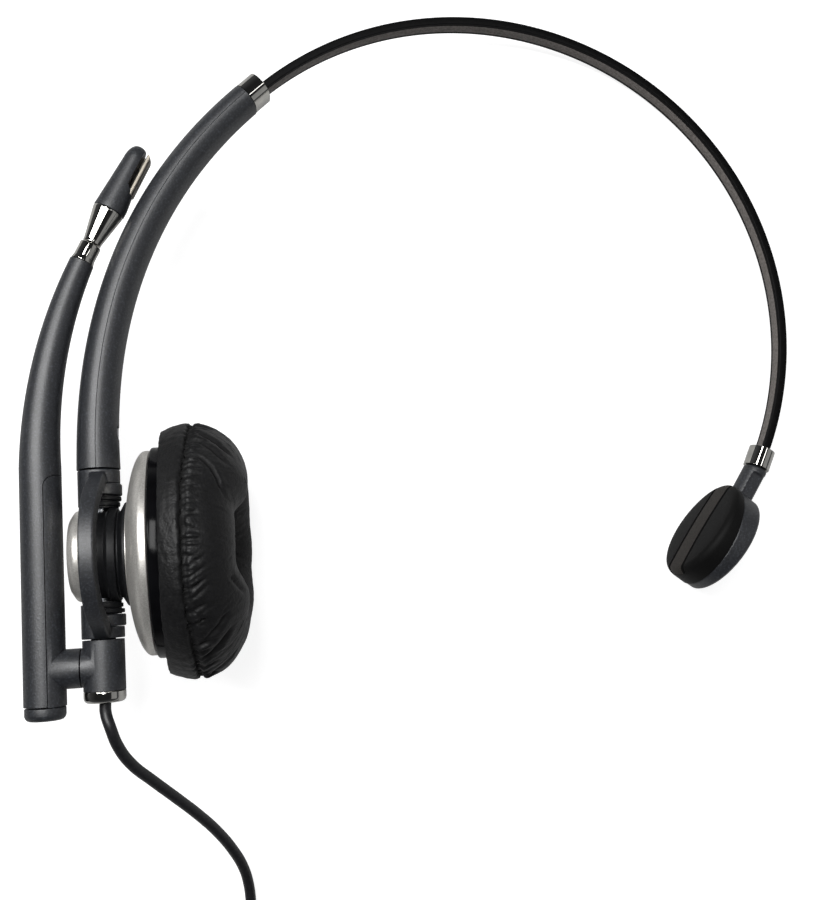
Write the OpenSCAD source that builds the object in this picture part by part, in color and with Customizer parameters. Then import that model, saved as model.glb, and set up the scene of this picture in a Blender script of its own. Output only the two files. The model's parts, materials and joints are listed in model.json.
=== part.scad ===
// Office headset with one ear cup, a stowed microphone boom and a temple pad,
// lying on a table on its ear cushion, its temple pad and the crown of its band.
// Pieces are drawn about the ear hub: X along the ear cup's axis towards the head,
// Y up the arm, Z square to the headset. rest() then lays each piece on the table.

/* [Head band] */
// Radius of the band at the middle of its strip
band_radius = 77.3; // [75:0.1:82]
// Width of the strip
band_width = 4.8; // [4:0.1:5]
// Thickness of the strip
band_thickness = 1; // [0.7:0.05:1.1]
// Angle on the band's circle where the strip leaves the arm
band_start = 129.3; // [126:0.1:132]
// Angle on the band's circle where the strip enters the temple pad's ferrule
band_end = -26; // [-30:0.5:-22]
// Angle of strip that is tucked into the arm
band_tuck = 17.4; // [14:0.1:17.6]
// Length of the narrow tang at the tucked end of the strip
tang_length = 9; // [8.6:0.1:10]
// Width of the tang
tang_width = 2.6; // [1.6:0.1:2.8]
// Length of the stop clipped to the tucked end of the strip
stop_length = 1.8; // [1.2:0.1:2.6]

/* [Arm] */
// Distance of the arm's top from the ear hub, along the ear cup's axis
arm_top_x = 41.34; // [39:0.02:43]
// Height of the arm's top above the ear hub
arm_top_y = 110.32; // [108:0.02:113]
// Height of the seam between the arm and the yoke
arm_seam = 19.2; // [18.9:0.1:22]
// Width of the arm at its foot
arm_foot_width = 9.7; // [9.2:0.1:10.4]
// Width of the arm at its top
arm_top_width = 7.6; // [7.5:0.1:8.4]
// Depth of the arm at its top, square to the headset
arm_top_depth = 9.6; // [9.5:0.1:11]
// Wall of the arm's two shells
arm_wall = 1; // [0.8:0.05:1.1]
// How far the arm's middle lies outside the strip's at its top
arm_offset = 0.9; // [0.7:0.05:1.1]
// Straightness of the arm's foot, as the length of its lower curve handle
arm_foot_handle = 13; // [8:0.5:22]
// Roundness of the arm's top, as the length of its upper curve handle
arm_top_handle = 50; // [40:0.5:55]
// Length of the chrome ferrule on the arm
arm_ferrule_length = 4.6; // [3.8:0.1:5.2]
// Width of the chrome ferrule on the arm
arm_ferrule_width = 6.9; // [6.6:0.1:7.4]
// Length of the guide that the strip slides in
guide_length = 3.4; // [2.4:0.1:4]

/* [Yoke] */
// Diameter of the collars on the arm's lower axis
collar_width = 9.4; // [9:0.1:10]
// Outer radius of the bow around the ear hub
bow_radius = 18.8; // [18:0.1:18.85]
// Thickness of the bow, measured outwards
bow_wall = 2.5; // [1.8:0.1:2.5]
// Width of the bow along the ear cup's axis
bow_width = 3.2; // [2.4:0.1:3.4]
// Diameter of the swivel pins
swivel_pin_width = 4; // [3:0.1:4.4]

/* [Ear cup] */
// Radius of the hub and its cap
hub_radius = 10.2; // [9.6:0.1:10.4]
// Distance of the cap's outer face from the arm's axis
cap_reach = 6.5; // [5.6:0.1:6.8]
// Thickness of the cap
cap_thickness = 3; // [2.4:0.1:3.4]
// Distance of the dish's flat back from the arm's axis
dish_back = 6.4; // [6:0.1:7]
// Depth of the dish
dish_depth = 5.6; // [5.4:0.1:7]
// Radius of the dish at its rim
dish_radius = 23; // [21:0.1:24]
// Depth of the dish's domed part, if it had no flat back
dish_dome = 5; // [4.8:0.1:5.6]
// Thickness of the gloss ring between dish and cushion
baffle_depth = 3.2; // [2.6:0.1:4.5]
// How far the gloss ring stands out past the dish
baffle_lip = 0.7; // [0.3:0.1:1.2]
// Width of the ring for the screws, between the loudspeaker and the dish's rim
driver_edge = 6; // [5.8:0.1:8]
// Radius of the loudspeaker's magnet
magnet_radius = 8; // [6:0.1:9]
// Radius of the holes in the grille
grille_hole = 0.8; // [0.5:0.05:1]

/* [Ear cushion] */
// Outer radius of the cushion at its seam
cushion_radius = 28.9; // [27.5:0.1:32]
// Radius of the cushion's back edge
cushion_back_radius = 27.2; // [25.5:0.1:27.4]
// Radius of the cushion's crest, where it stands highest
cushion_crest = 16.6; // [15.5:0.1:19]
// Radius of the hollow for the ear
cushion_hollow = 10; // [8:0.1:13]
// Distance from the cushion's back edge to its seam
cushion_skirt = 6; // [4.5:0.1:8]
// Height of the cushion's front lobe over the seam
cushion_lobe = 12.2; // [9:0.1:14]

/* [Tee] */
// Height of the seam between the yoke and the tee, below the hub
tee_seam = 18.6; // [18.5:0.05:22]
// Diameter of the tee
tee_width = 9.2; // [8.8:0.1:9.6]
// Length of the tee without its ferrule
tee_length = 11.2; // [10.6:0.1:13]
// Distance of the boom's pivot axis below the tee's top
pivot_drop = 6; // [5.4:0.1:6.2]
// Diameter of the stub between the tee and the boom
stub_width = 8.7; // [7.6:0.1:8.8]
// Diameter of the pivot pin
pivot_pin_width = 2.6; // [2:0.1:2.8]
// Length of the chrome ferrule under the tee
tee_ferrule_length = 2.6; // [2.2:0.1:4]

/* [Boom] */
// Distance of the boom's middle from the arm's axis
boom_reach = 12.8; // [12.5:0.1:15]
// Diameter of the boom at its foot
boom_width = 9.2; // [8.6:0.1:9.6]
// Diameter of the boom at its tip
boom_tip_width = 5.6; // [5:0.1:6.4]
// Height where the boom starts to bend, above the hub
boom_bend_start = 20.4; // [20:0.1:24]
// Radius of the boom's bend
boom_bend_radius = 115; // [112:1:125]
// Angle of the boom's bend
boom_bend = 24.5; // [22:0.1:25]
// Height of the carriage's top, above the hub
carriage_top = 18.2; // [15:0.1:19]
// Distance of the sliding seam from the boom's middle
slide_seam = 1.3; // [0.9:0.05:1.5]
// Rounding of the carriage's upper corner
carriage_corner = 2.6; // [1.5:0.1:3]
// Distance of the end cap's seam below the pivot axis
cap_seam_drop = 7.8; // [7.2:0.1:10]
// Length of the end cap
end_cap_length = 3; // [2.4:0.1:5]

/* [Microphone] */
// Turn of the microphone's axis beyond the boom's bend
mic_turn = 2.9; // [0:0.1:3.4]
// Length of the chrome ring on the boom's tip
mic_ring_length = 4.7; // [3.6:0.1:6]
// Diameter of the neck between ring and cone
mic_neck_width = 3.8; // [3.4:0.1:4.2]
// Length of the chrome cone
mic_cone_length = 8.8; // [7:0.1:11]
// Diameter of the microphone's housing
mic_width = 7.3; // [6.8:0.1:7.8]
// Length of the housing
mic_length = 17.4; // [16.5:0.1:20]
// Length of the chrome sound port
port_length = 9; // [7:0.1:9.4]
// Width of the chrome sound port
port_width = 4; // [3:0.1:4.4]
// Diameter of the microphone's capsule
capsule_width = 4; // [3:0.1:4.4]

/* [Temple pad] */
// Length of the pad's chrome ferrule
pad_ferrule_length = 4.9; // [4.6:0.1:6]
// Width of the pad's chrome ferrule
pad_ferrule_width = 6.2; // [5.8:0.1:6.8]
// Diameter of the pad's stem
stem_width = 5.5; // [5:0.1:5.8]
// Diameter of the swivel spigot on the stem
spigot_width = 3; // [2.4:0.1:3.4]
// Distance of the pad's middle below its ferrule
pad_drop = 21.3; // [18:0.1:24]
// Radius of the pad
pad_radius = 12.2; // [10:0.1:13]
// Thickness of the soft part of the pad
pad_thickness = 2; // [1.6:0.1:4]
// Thickness of the pad's hard shell at its middle
pad_shell_thickness = 7.2; // [6:0.1:8]
// Thickness of the shell at its rim
pad_rim_thickness = 4.2; // [2.8:0.1:4.6]
// Turn of the pad on its stem as it lies
pad_turn = 6; // [0:0.5:10]
// Lean of the stem towards the head
stem_lean = 9; // [0:0.5:12]
// Lean of the pad towards the head
pad_lean = 11.5; // [0:0.5:20]
// Width of the grip rib across the pad
rib_width = 3; // [2.4:0.1:4.5]
// Height of the rib over the pad's face
rib_height = 0.5; // [0.3:0.1:1.2]

/* [Cord] */
// Diameter of the cord
cord_width = 2.6; // [2.4:0.1:3]
// Mean radius of the coil
coil_radius = 14.3; // [13:0.1:16]
// Turns of cord side by side in the coil
coil_columns = 4; // [3:1:5]
// Layers of cord in the coil
coil_layers = 3; // [2:1:4]
// Diameter of the jack plug's pin
jack_width = 3.5; // [2.5:0.5:3.5]
// Length of the jack plug's pin
jack_length = 14; // [11:0.5:15]
// Diameter of the plug's handle
plug_width = 7; // [6.4:0.1:8]
// Length of the plug's handle
plug_length = 16; // [14:0.5:22]

/* [Clearances] */
// Gap between two bodies that move past each other
move_gap = 0.3; // [0.25:0.05:0.35]
// Radial clearance of a pin that turns in a bore
run_gap = 0.05; // [0.02:0.01:0.08]
// Gap between two pieces that are fixed together
seat_gap = 0.04; // [0.02:0.01:0.06]
// Gap that shows as a seam between two covers
seam_gap = 0.15; // [0.1:0.05:0.2]

/* [Hidden] */
$fn = 64;

charcoal = "#3a3d42";
black = "#1b1b1d";
silver = "#b9b4aa";
chrome = "#d8dadd";
steel = "#8f9296";

// Places along the headset
// How far a cut runs past the face that it opens
over = 1;
// Length over which two fused bodies lap
lap = 0.5;

hub_back = -(cap_reach - cap_thickness);
driver_radius = dish_radius - driver_edge;
dish_rim = dish_back + dish_depth;
baffle_front = dish_rim + baffle_depth;
baffle_radius = dish_radius + baffle_lip;
cushion_seam = baffle_front + cushion_skirt;
collar_r = collar_width / 2;
swivel_r = swivel_pin_width / 2;
bow_inner = bow_radius - bow_wall;
hub_ridge = 0.5;
knuckle_foot = hub_radius + hub_ridge + 0.1;
knuckle_height = 2.5;
knuckle_top = knuckle_foot + knuckle_height;
bush_drop = 0.4;
bush_top = bow_inner - bush_drop;
collar_base = bush_top + 0.1;
pin_bed = 1.2;
tee_r = tee_width / 2;
tee_wall = 1.3;
tee_foot = tee_seam + tee_length;
pivot_y = -(tee_seam + pivot_drop);
pivot_r = pivot_pin_width / 2;
stub_r = stub_width / 2;
stub_face = tee_r + move_gap;
boom_r = boom_width / 2;
boom_foot = pivot_y - cap_seam_drop;
cap_foot = boom_foot - end_cap_length;
rail_neck = 2;
rail_head = 3.6;
rail_depth = 2.4;
rail_lip = 1;
cord_r = cord_width / 2;
cord_exit = -(tee_foot + tee_ferrule_length);

// Places around the band's circle, as angles
function arc_angle(length) = length / band_radius * 180 / PI;
band_middle = [arm_top_x - band_radius * cos(band_start), arm_top_y - band_radius * sin(band_start), 0];
strip_tail = band_start + band_tuck;
ferrule_angle = arc_angle(arm_ferrule_length);
arm_top_angle = band_start + ferrule_angle + arc_angle(seam_gap);
neck_length = 1.5;
guide_start = arm_top_angle + arc_angle(neck_length + seam_gap);
guide_end = guide_start + arc_angle(guide_length);
tang_start = strip_tail - arc_angle(tang_length);
strip_insert = 2.3;

// The arm's middle line is one curve with a handle at each end
function along(angle) = [cos(angle), sin(angle)];
arm_lean = 1.9;
arm_p0 = [0, arm_seam + seam_gap];
arm_p1 = arm_p0 + [0, arm_foot_handle];
arm_p3 = [band_middle.x, band_middle.y] + (band_radius + arm_offset) * along(arm_top_angle);
arm_p2 = arm_p3 - arm_top_handle * along(arm_top_angle - 90 - arm_lean);
function arm_point(t) =
    pow(1 - t, 3) * arm_p0 + 3 * pow(1 - t, 2) * t * arm_p1 + 3 * (1 - t) * t * t * arm_p2 + pow(t, 3) * arm_p3;
function arm_slope(t) =
    pow(1 - t, 2) * (arm_p1 - arm_p0) + 2 * (1 - t) * t * (arm_p2 - arm_p1) + t * t * (arm_p3 - arm_p2);
function mix(a, b, t) = a + (b - a) * t;
function arm_half_width(t) = mix(arm_foot_width, arm_top_width, t) / 2;
function arm_half_depth(t) = mix(arm_foot_width, arm_top_depth, t) / 2;

// One point of the arm's section: side 1 is the outside, inset is the depth under the skin
function arm_skin(t, side, angle, inset) =
    let(p = arm_point(t), s = arm_slope(t) / norm(arm_slope(t)))
    let(a = (arm_half_width(t) - inset) * cos(angle) * side, b = (arm_half_depth(t) - inset) * sin(angle))
    [p.x - s.y * a, p.y + s.x * a, b];
arm_rings = 22;
arc_steps = 12;
part_angle = 89;

// How the headset lies: up is turned until cushion, pad and band all touch the table.
// A rounded rim about an axis touches where its oval section looks straight down.
function rim_touch(middle, axis, ring, out, high, up) =
    let(na = -up * axis, side = up + na * axis, nr = norm(side), k = norm([out * nr, high * na]))
    middle + axis * high * high * na / k - (ring + out * out * nr / k) * side / nr;
function cushion_touch(up) =
    rim_touch([cushion_seam, 0, 0], [1, 0, 0], cushion_crest, cushion_radius - cushion_crest, cushion_lobe, up);
pad_split = -4.2;
pad_rim = pad_split + pad_rim_thickness;
pad_back = pad_split + pad_shell_thickness;
pad_overhang = 0.2;
pad_shell_r = pad_radius - pad_overhang;
pad_out = along(band_end);
pad_along = along(band_end + 90);
function from_pad(x, y) = [
    cos(pad_turn) * x * pad_out.x + y * pad_along.x,
    cos(pad_turn) * x * pad_out.y + y * pad_along.y,
    -sin(pad_turn) * x
];
pad_axis = from_pad(cos(pad_lean), -sin(pad_lean));
pad_place = band_middle + band_radius * [pad_out.x, pad_out.y, 0] - pad_ferrule_length * from_pad(0, 1);
pad_middle = pad_place - pad_drop * from_pad(sin(stem_lean), cos(stem_lean));
function pad_touch(up) =
    rim_touch(pad_middle + pad_rim * pad_axis, pad_axis, 0, pad_shell_r, pad_back - pad_rim, up);
function band_touch(up) =
    let(q = band_middle - (band_radius + band_thickness / 2) * [up.x, up.y, 0] / norm([up.x, up.y]))
    [q.x, q.y, -band_width / 2];
function settle(up, turns) =
    turns == 0 ? up
    : let(a = cushion_touch(up), n = cross(pad_touch(up) - a, band_touch(up) - a))
    settle(n / norm(n), turns - 1);
up = settle([-0.14, -0.14, 0.98], 12);
tip_x = atan2(up.y, up.z);
tip_y = atan2(-up.x, norm([up.y, up.z]));
row_x = [cos(tip_y), sin(tip_y) * sin(tip_x), sin(tip_y) * cos(tip_x)];
row_y = [0, cos(tip_x), -sin(tip_x)];
function band_reach(axis) =
    let(flat = band_radius + band_thickness / 2)
    band_middle * axis + flat * norm([axis.x, axis.y]) + abs(axis.z) * band_width / 2;
boom_left = [-boom_reach, boom_bend_start, 0] * row_x - boom_r * norm([row_x.x, row_x.z]);
boom_low = [-boom_reach, cap_foot, 0] * row_y - boom_r * abs(row_y.z);
rest_shift = -[(band_reach(row_x) + boom_left) / 2, (band_reach(row_y) + boom_low) / 2, cushion_touch(up) * up];

function laid(p) = [p * row_x, p * row_y, p * up] + rest_shift;
module rest() {
    translate(rest_shift) rotate([tip_x, tip_y, 0]) children();
}

// Round bodies about the ear cup's axis and about the arm's axis
module along_x(from, to, r) {
    translate([from, 0, 0]) rotate([0, 90, 0]) cylinder(h = to - from, r = r);
}
module along_y(from, to, r) {
    translate([0, from, 0]) rotate([-90, 0, 0]) cylinder(h = to - from, r = r);
}
module turn_x() {
    rotate([0, 90, 0]) rotate_extrude() children();
}
module turn_y(half_angle) {
    rotate([-90, 0, 0]) rotate([0, 0, -half_angle]) rotate_extrude(angle = 2 * half_angle) children();
}
module pipe_y(from, to, outer, inner) {
    difference() {
        along_y(from, to, outer);
        along_y(from - over, to + over, inner);
    }
}
module slot_shape(width, depth) {
    r = width / 2;
    for (s = [-1, 1]) translate([0, s * (depth / 2 - r)]) circle(r = r);
    square([width, depth - width], center = true);
}
module band_sector(from, to, inner, outer, depth) {
    translate(band_middle) rotate([0, 0, from]) rotate_extrude(angle = to - from)
        translate([inner, -depth / 2]) square([outer - inner, depth]);
}
module strip_space(from, to, gap) {
    half = band_thickness / 2 + gap;
    band_sector(from, to, band_radius - half, band_radius + half, band_width + 2 * gap);
}
module on_band(angle) {
    translate(band_middle) rotate([0, 0, angle]) translate([band_radius, 0, 0]) children();
}

// A body drawn through a row of rings that have the same number of points
module sweep(rings) {
    n = len(rings[0]);
    last = (len(rings) - 1) * n;
    sides = [
        for (j = [0:len(rings) - 2], i = [0:n - 1], k = [0, 1])
            let(a = j * n + i, b = j * n + (i + 1) % n)
            k == 0 ? [a, a + n, b] : [b, a + n, b + n]
    ];
    polyhedron(
        points = [for (r = rings) each r],
        faces = concat([[for (i = [0:n - 1]) i]], [[for (i = [n - 1:-1:0]) last + i]], sides)
    );
}
// The arm's half shells are grids of cells with an outer and an inner skin.
// The inner half leaves out the cells over its screw, as a window.
window_row = 3;
window_angle = 20;
function shell_angle(i) =
    let(half = arc_steps / 2, k = i - half)
    k == 0 ? 0 : sign(k) * mix(window_angle, part_angle, (abs(k) - 1) / (half - 1));
function in_window(j, i) = j == window_row && abs(i + 0.5 - arc_steps / 2) < 1;
function quad(a, b, c, d) = [[a, b, d], [d, b, c]];
module arm_shell(side, has_window) {
    across = arc_steps + 1;
    under = across * (arm_rings + 1);
    function solid(j, i) =
        j >= 0 && j < arm_rings && i >= 0 && i < arc_steps && !(has_window && in_window(j, i));
    polyhedron(
        points = [
            for (inset = [0, arm_wall], j = [0:arm_rings], i = [0:arc_steps])
                arm_skin(j / arm_rings, side, side * shell_angle(i), inset)
        ],
        faces = [
            for (j = [0:arm_rings - 1], i = [0:arc_steps - 1])
                if (solid(j, i))
                    let(a = across * j + i, b = a + 1, c = b + across, d = a + across)
                    each concat(
                        quad(a, d, c, b),
                        quad(a + under, b + under, c + under, d + under),
                        solid(j, i - 1) ? [] : quad(d, a, a + under, d + under),
                        solid(j + 1, i) ? [] : quad(c, d, d + under, c + under),
                        solid(j, i + 1) ? [] : quad(b, c, c + under, b + under),
                        solid(j - 1, i) ? [] : quad(a, b, b + under, a + under)
                    )
        ]
    );
}

// The arm
plug_end = 0.24;
screw_t = (window_row + 0.5) / arm_rings;
screw_y = arm_point(screw_t).y;
screw_head_r = 1.2;
screw_head_height = 0.7;
screw_shank_r = 0.6;
screw_shank_length = 3.3;
spigot_reach = 5;
spigot_top = arm_seam + spigot_reach;
spigot_r = 2.6;
module arm_outer_shell() {
    color(charcoal) rest() arm_shell(1, false);
}
module arm_inner_shell() {
    color(charcoal) rest() arm_shell(-1, true);
}
module arm_core(from, to, rings) {
    inset = arm_wall + seat_gap;
    sweep([
        for (j = [0:rings])
            [
                for (side = [1, -1], i = [0:arc_steps])
                    arm_skin(mix(from, to, j / rings), side, side * shell_angle(i), inset)
            ]
    ]);
}
module arm_plug() {
    color(black) rest() difference() {
        arm_core(0, plug_end, 6);
        along_y(arm_seam - over, spigot_top + seat_gap, spigot_r + seat_gap);
        translate([0, screw_y, 0]) along_x(0, arm_foot_width, screw_shank_r + seat_gap);
    }
}
module arm_screw() {
    head_seat = arm_half_width(screw_t) - arm_wall;
    color(steel) rest() translate([arm_point(screw_t).x, screw_y, 0]) {
        along_x(head_seat, head_seat + screw_head_height, screw_head_r);
        along_x(head_seat - screw_shank_length, head_seat, screw_shank_r);
    }
}
neck_gap = 0.4;
ferrule_inset = 0.4;
module arm_ferrule() {
    neck_width = arm_top_width - 2 * arm_wall - 2 * neck_gap;
    neck_depth = arm_top_depth - 2 * arm_wall - 2 * neck_gap;
    depth = arm_top_depth - ferrule_inset;
    color(chrome) rest() difference() {
        on_band(band_start + ferrule_angle / 2) translate([arm_offset, 0, 0]) rotate([-90, 0, 0]) {
            translate([0, 0, -arm_ferrule_length / 2]) linear_extrude(arm_ferrule_length)
                slot_shape(arm_ferrule_width, depth);
            linear_extrude(arm_ferrule_length / 2 + neck_length) slot_shape(neck_width, neck_depth);
        }
        strip_space(band_start - ferrule_angle, guide_start, move_gap);
    }
}
guide_high = 1 - (neck_length + seam_gap) / (3 * arm_top_handle);
guide_low = guide_high - guide_length / (3 * arm_top_handle);
brake_gap = 0.2;
brake_thickness = 0.3;
brake_depth = 3;
brake_inset = 0.6;
module brake_space(gap) {
    inner = band_radius + band_thickness / 2 + brake_gap;
    band_sector(
        guide_start + arc_angle(brake_inset - gap), guide_end - arc_angle(brake_inset - gap),
        inner - gap, inner + brake_thickness + gap, brake_depth + 2 * gap
    );
}
module band_guide() {
    color(black) rest() difference() {
        arm_core(guide_low, guide_high, 2);
        strip_space(guide_start - arc_angle(over), guide_end + arc_angle(over), brake_gap - seat_gap);
        brake_space(seat_gap);
    }
}
module brake_spring() {
    color(steel) rest() brake_space(0);
}

// The yoke with its bow, and the bushes of the ear cup's swivel
apron_angle = 75;
apron_foot = 10.9;
apron_wall = 1.6;
module yoke_collar(seam) {
    difference() {
        union() {
            along_y(collar_base, seam - seam_gap, collar_r);
            rotate([0, 180, 0]) turn_y(apron_angle) translate([collar_r - apron_wall, apron_foot])
                square([apron_wall, collar_base - apron_foot + lap]);
        }
        along_y(0, seam - pin_bed, swivel_r + run_gap);
    }
}
module yoke() {
    color(charcoal) rest() {
        difference() {
            along_x(-bow_width / 2, bow_width / 2, bow_radius);
            along_x(-bow_width, bow_width, bow_inner);
            along_y(-tee_seam, arm_seam, swivel_r + run_gap);
        }
        yoke_collar(arm_seam);
        mirror([0, 1, 0]) yoke_collar(tee_seam);
        along_y(arm_seam - lap, spigot_top, spigot_r);
        along_y(-tee_seam - spigot_r, -tee_seam + lap, spigot_r);
    }
}
bush_foot = knuckle_top + move_gap;
bush_angle = 62;
bush_lip = 0.35;
ring_wall = 0.6;
ring_r = swivel_r + ring_wall;
module bush() {
    difference() {
        union() {
            along_y(bush_foot, bush_top, ring_r);
            turn_y(bush_angle) translate([0, bush_foot]) square([collar_r + bush_lip, bush_top - bush_foot]);
        }
        along_y(0, bush_top + over, swivel_r + run_gap);
    }
}
module upper_bush() {
    color(charcoal) rest() bush();
}
module lower_bush() {
    color(charcoal) rest() mirror([0, 1, 0]) bush();
}

// The tee under the yoke
tee_deck = 1;
module tee_body() {
    top = -tee_seam - seam_gap;
    color(charcoal) rest() difference() {
        union() {
            along_y(-tee_foot, top, tee_r);
            translate([0, pivot_y, 0]) along_x(-tee_r, 0, stub_r);
        }
        along_y(-tee_foot - over, top - spigot_r - tee_deck, tee_r - tee_wall);
        along_y(top - spigot_r - tee_deck - over, top + over, spigot_r + seat_gap);
        translate([0, pivot_y, 0]) along_x(-tee_r - over, 0, pivot_r + run_gap);
    }
}
grommet_wall = 1;
grommet_tail = 2;
grommet_r = cord_r + grommet_wall;
module tee_ferrule() {
    round = 1.2;
    color(chrome) rest() difference() {
        mirror([0, 1, 0]) rotate([-90, 0, 0]) rotate_extrude() {
            translate([0, tee_foot]) square([tee_r, tee_ferrule_length - round]);
            translate([0, tee_foot]) square([tee_r - round, tee_ferrule_length]);
            translate([tee_r - round, tee_foot + tee_ferrule_length - round]) circle(r = round);
        }
        along_y(cord_exit - over, -tee_foot + over, grommet_r + seat_gap);
    }
}
module cord_grommet() {
    color(black) rest() pipe_y(cord_exit, -tee_foot + grommet_tail, grommet_r, cord_r);
}

// The ear cup
hub_flare = 1.4;
hub_step = 0.4;
ridge_places = [0.6, 1.2, 2.8, 3.6];
flare_start = dish_back - 1.8;
flare_lip = 0.6;
module hub_cap() {
    round = 2;
    shoulder = cap_thickness - round;
    color(silver) rest() translate([hub_back, 0, 0]) mirror([1, 0, 0]) turn_x() {
        square([hub_radius, shoulder]);
        square([hub_radius - round, cap_thickness]);
        intersection() {
            translate([hub_radius - round, shoulder]) circle(r = round);
            square([hub_radius, cap_thickness]);
        }
    }
}
module hub_body() {
    neck = hub_radius - hub_step;
    ridge = hub_radius + hub_ridge;
    flare = hub_radius + hub_flare;
    color(black) rest() difference() {
        turn_x() polygon([
            [0, hub_back], [neck, hub_back], [neck, ridge_places[0]], [ridge, ridge_places[1]],
            [ridge, ridge_places[2]], [neck, ridge_places[3]], [neck, flare_start],
            [flare, dish_back - flare_lip], [flare, dish_back], [0, dish_back]
        ]);
        along_y(-hub_radius - hub_flare - over, hub_radius + hub_flare + over, swivel_r + seat_gap);
    }
}
module swivel_pins() {
    reach = [arm_seam - pin_bed - move_gap, tee_seam - pin_bed - move_gap];
    color(steel) rest() {
        along_y(hub_radius / 2, reach[0], swivel_r);
        along_y(-reach[1], -hub_radius / 2, swivel_r);
    }
}
knuckle_angle = bush_angle - 10;
knuckle_step = 0.5;
knuckle_groove = 0.3;
module knuckle() {
    pitch = (knuckle_top - knuckle_foot) / 2;
    difference() {
        union() {
            along_y(knuckle_foot - lap, knuckle_top, ring_r);
            for (i = [0, 1])
                turn_y(knuckle_angle) translate([0, knuckle_foot + i * pitch])
                    square([collar_r + knuckle_step * (i - 0.8), pitch * (1 - knuckle_groove)]);
        }
        along_y(0, knuckle_top + over, swivel_r + seat_gap);
        along_x(hub_back - over, dish_back, hub_radius + hub_ridge + seat_gap);
    }
}
module upper_knuckle() {
    color(black) rest() knuckle();
}
module lower_knuckle() {
    color(black) rest() mirror([0, 1, 0]) knuckle();
}
dish_wall = 1.2;
dish_screw_r = 0.8;
dish_screw_head_r = 1.4;
dish_screw_head_height = 0.9;
dish_screw_ring = (driver_radius + dish_radius - dish_wall) / 2;
dish_lip = 0.5;
baffle_tail = 1;
basket_flange = 0.5;
grille_thickness = 0.85;
grille_stand = 0.4;
driver_seat = 1.2;
driver_ledge = 1;
magnet_front = dish_rim - 0.6;
screw_tip = baffle_front - 0.7;
module at_dish_screws() {
    for (a = [45:90:315]) rotate([a, 0, 0]) translate([0, 0, dish_screw_ring]) children();
}
dish_rim_depth = 1.2;
dish_middle = dish_rim - dish_rim_depth;
dish_steps = 12;
module dish_shape(inset) {
    high = dish_dome - inset;
    flat = acos(min(1, (dish_middle - dish_back - inset) / high));
    polygon(concat(
        [[0, dish_rim], [0, dish_back + inset]],
        [
            for (i = [0:dish_steps])
                let(a = mix(flat, 90, i / dish_steps))
                [(dish_radius - inset) * sin(a), dish_middle - high * cos(a)]
        ],
        [[dish_radius - inset, dish_rim]]
    ));
}
module speaker_dish() {
    color(silver) rest() difference() {
        turn_x() dish_shape(0);
        turn_x() dish_shape(dish_wall);
        along_x(dish_rim - dish_lip, dish_rim + over, dish_radius - dish_wall);
    }
}
module speaker_baffle() {
    color(black) rest() difference() {
        union() {
            along_x(dish_rim + seat_gap, baffle_front, baffle_radius);
            along_x(dish_rim - baffle_tail, baffle_front, dish_radius - dish_wall - seat_gap);
        }
        along_x(dish_rim - baffle_tail - over, baffle_front + over, driver_radius - driver_ledge);
        along_x(baffle_front - driver_seat, baffle_front + over, driver_radius + seat_gap);
        at_dish_screws() along_x(dish_rim - baffle_tail - over, screw_tip + seat_gap, dish_screw_r + seat_gap);
    }
}
module driver_magnet() {
    color(steel) rest() along_x(dish_back + dish_wall + seat_gap, magnet_front, magnet_radius);
}
basket_wall = 0.7;
basket_rim = 2;
vent_r = 1.4;
module driver_basket() {
    back = magnet_front + seat_gap;
    front = baffle_front - driver_seat + seat_gap;
    pot = magnet_radius + basket_wall;
    color(black) rest() difference() {
        turn_x() polygon([
            [0, back], [pot, back], [driver_radius - driver_ledge, front], [driver_radius, front],
            [driver_radius, front + basket_flange], [driver_radius - basket_rim, front + basket_flange],
            [magnet_radius, back + basket_wall], [0, back + basket_wall]
        ]);
        for (a = [0:60:300]) rotate([a, 0, 0]) translate([0, 0, (driver_radius + magnet_radius) / 2])
            along_x(back - over, front + over, vent_r);
    }
}
cone_sheet = 0.15;
surround = 3;
coil_r = 2;
module driver_cone() {
    front = baffle_front - driver_seat + basket_flange + 2 * seat_gap;
    back = dish_rim + basket_wall;
    outer = driver_radius - seat_gap;
    roll = driver_radius - surround;
    dome = magnet_radius - coil_r;
    color(black) rest() turn_x() polygon([
        [0, back], [dome, back], [roll, front], [outer, front], [outer, front + cone_sheet],
        [roll - cone_sheet, front + cone_sheet], [dome - cone_sheet, back + cone_sheet], [0, back + cone_sheet]
    ]);
}
grille_pitch = 3;
grille_circles = 3;
module driver_grille() {
    front = baffle_front + grille_stand;
    color(black) rest() difference() {
        along_x(front - grille_thickness, front, driver_radius - seat_gap);
        for (ring = [0:grille_circles], k = [0:max(0, 6 * ring - 1)])
            rotate([k * 360 / max(1, 6 * ring), 0, 0]) translate([0, 0, grille_pitch * ring])
                along_x(front - grille_thickness - over, front + over, grille_hole);
    }
}
plate_edge = 1.2;
plate_radius = cushion_back_radius - plate_edge;
plate_thickness = 1;
plate_gap = 0.5;
module cushion_plate() {
    color(black) rest() difference() {
        along_x(baffle_front + seat_gap, baffle_front + plate_thickness, plate_radius);
        along_x(baffle_front - over, baffle_front + plate_thickness + over, driver_radius + plate_gap);
    }
}
lobe_steps = 14;
skirt_swell = 0.6;
function lobe_point(rim, a) = [
    cushion_crest + (rim - cushion_crest) * cos(a),
    cushion_seam + cushion_lobe * sin(a)
];
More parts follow.
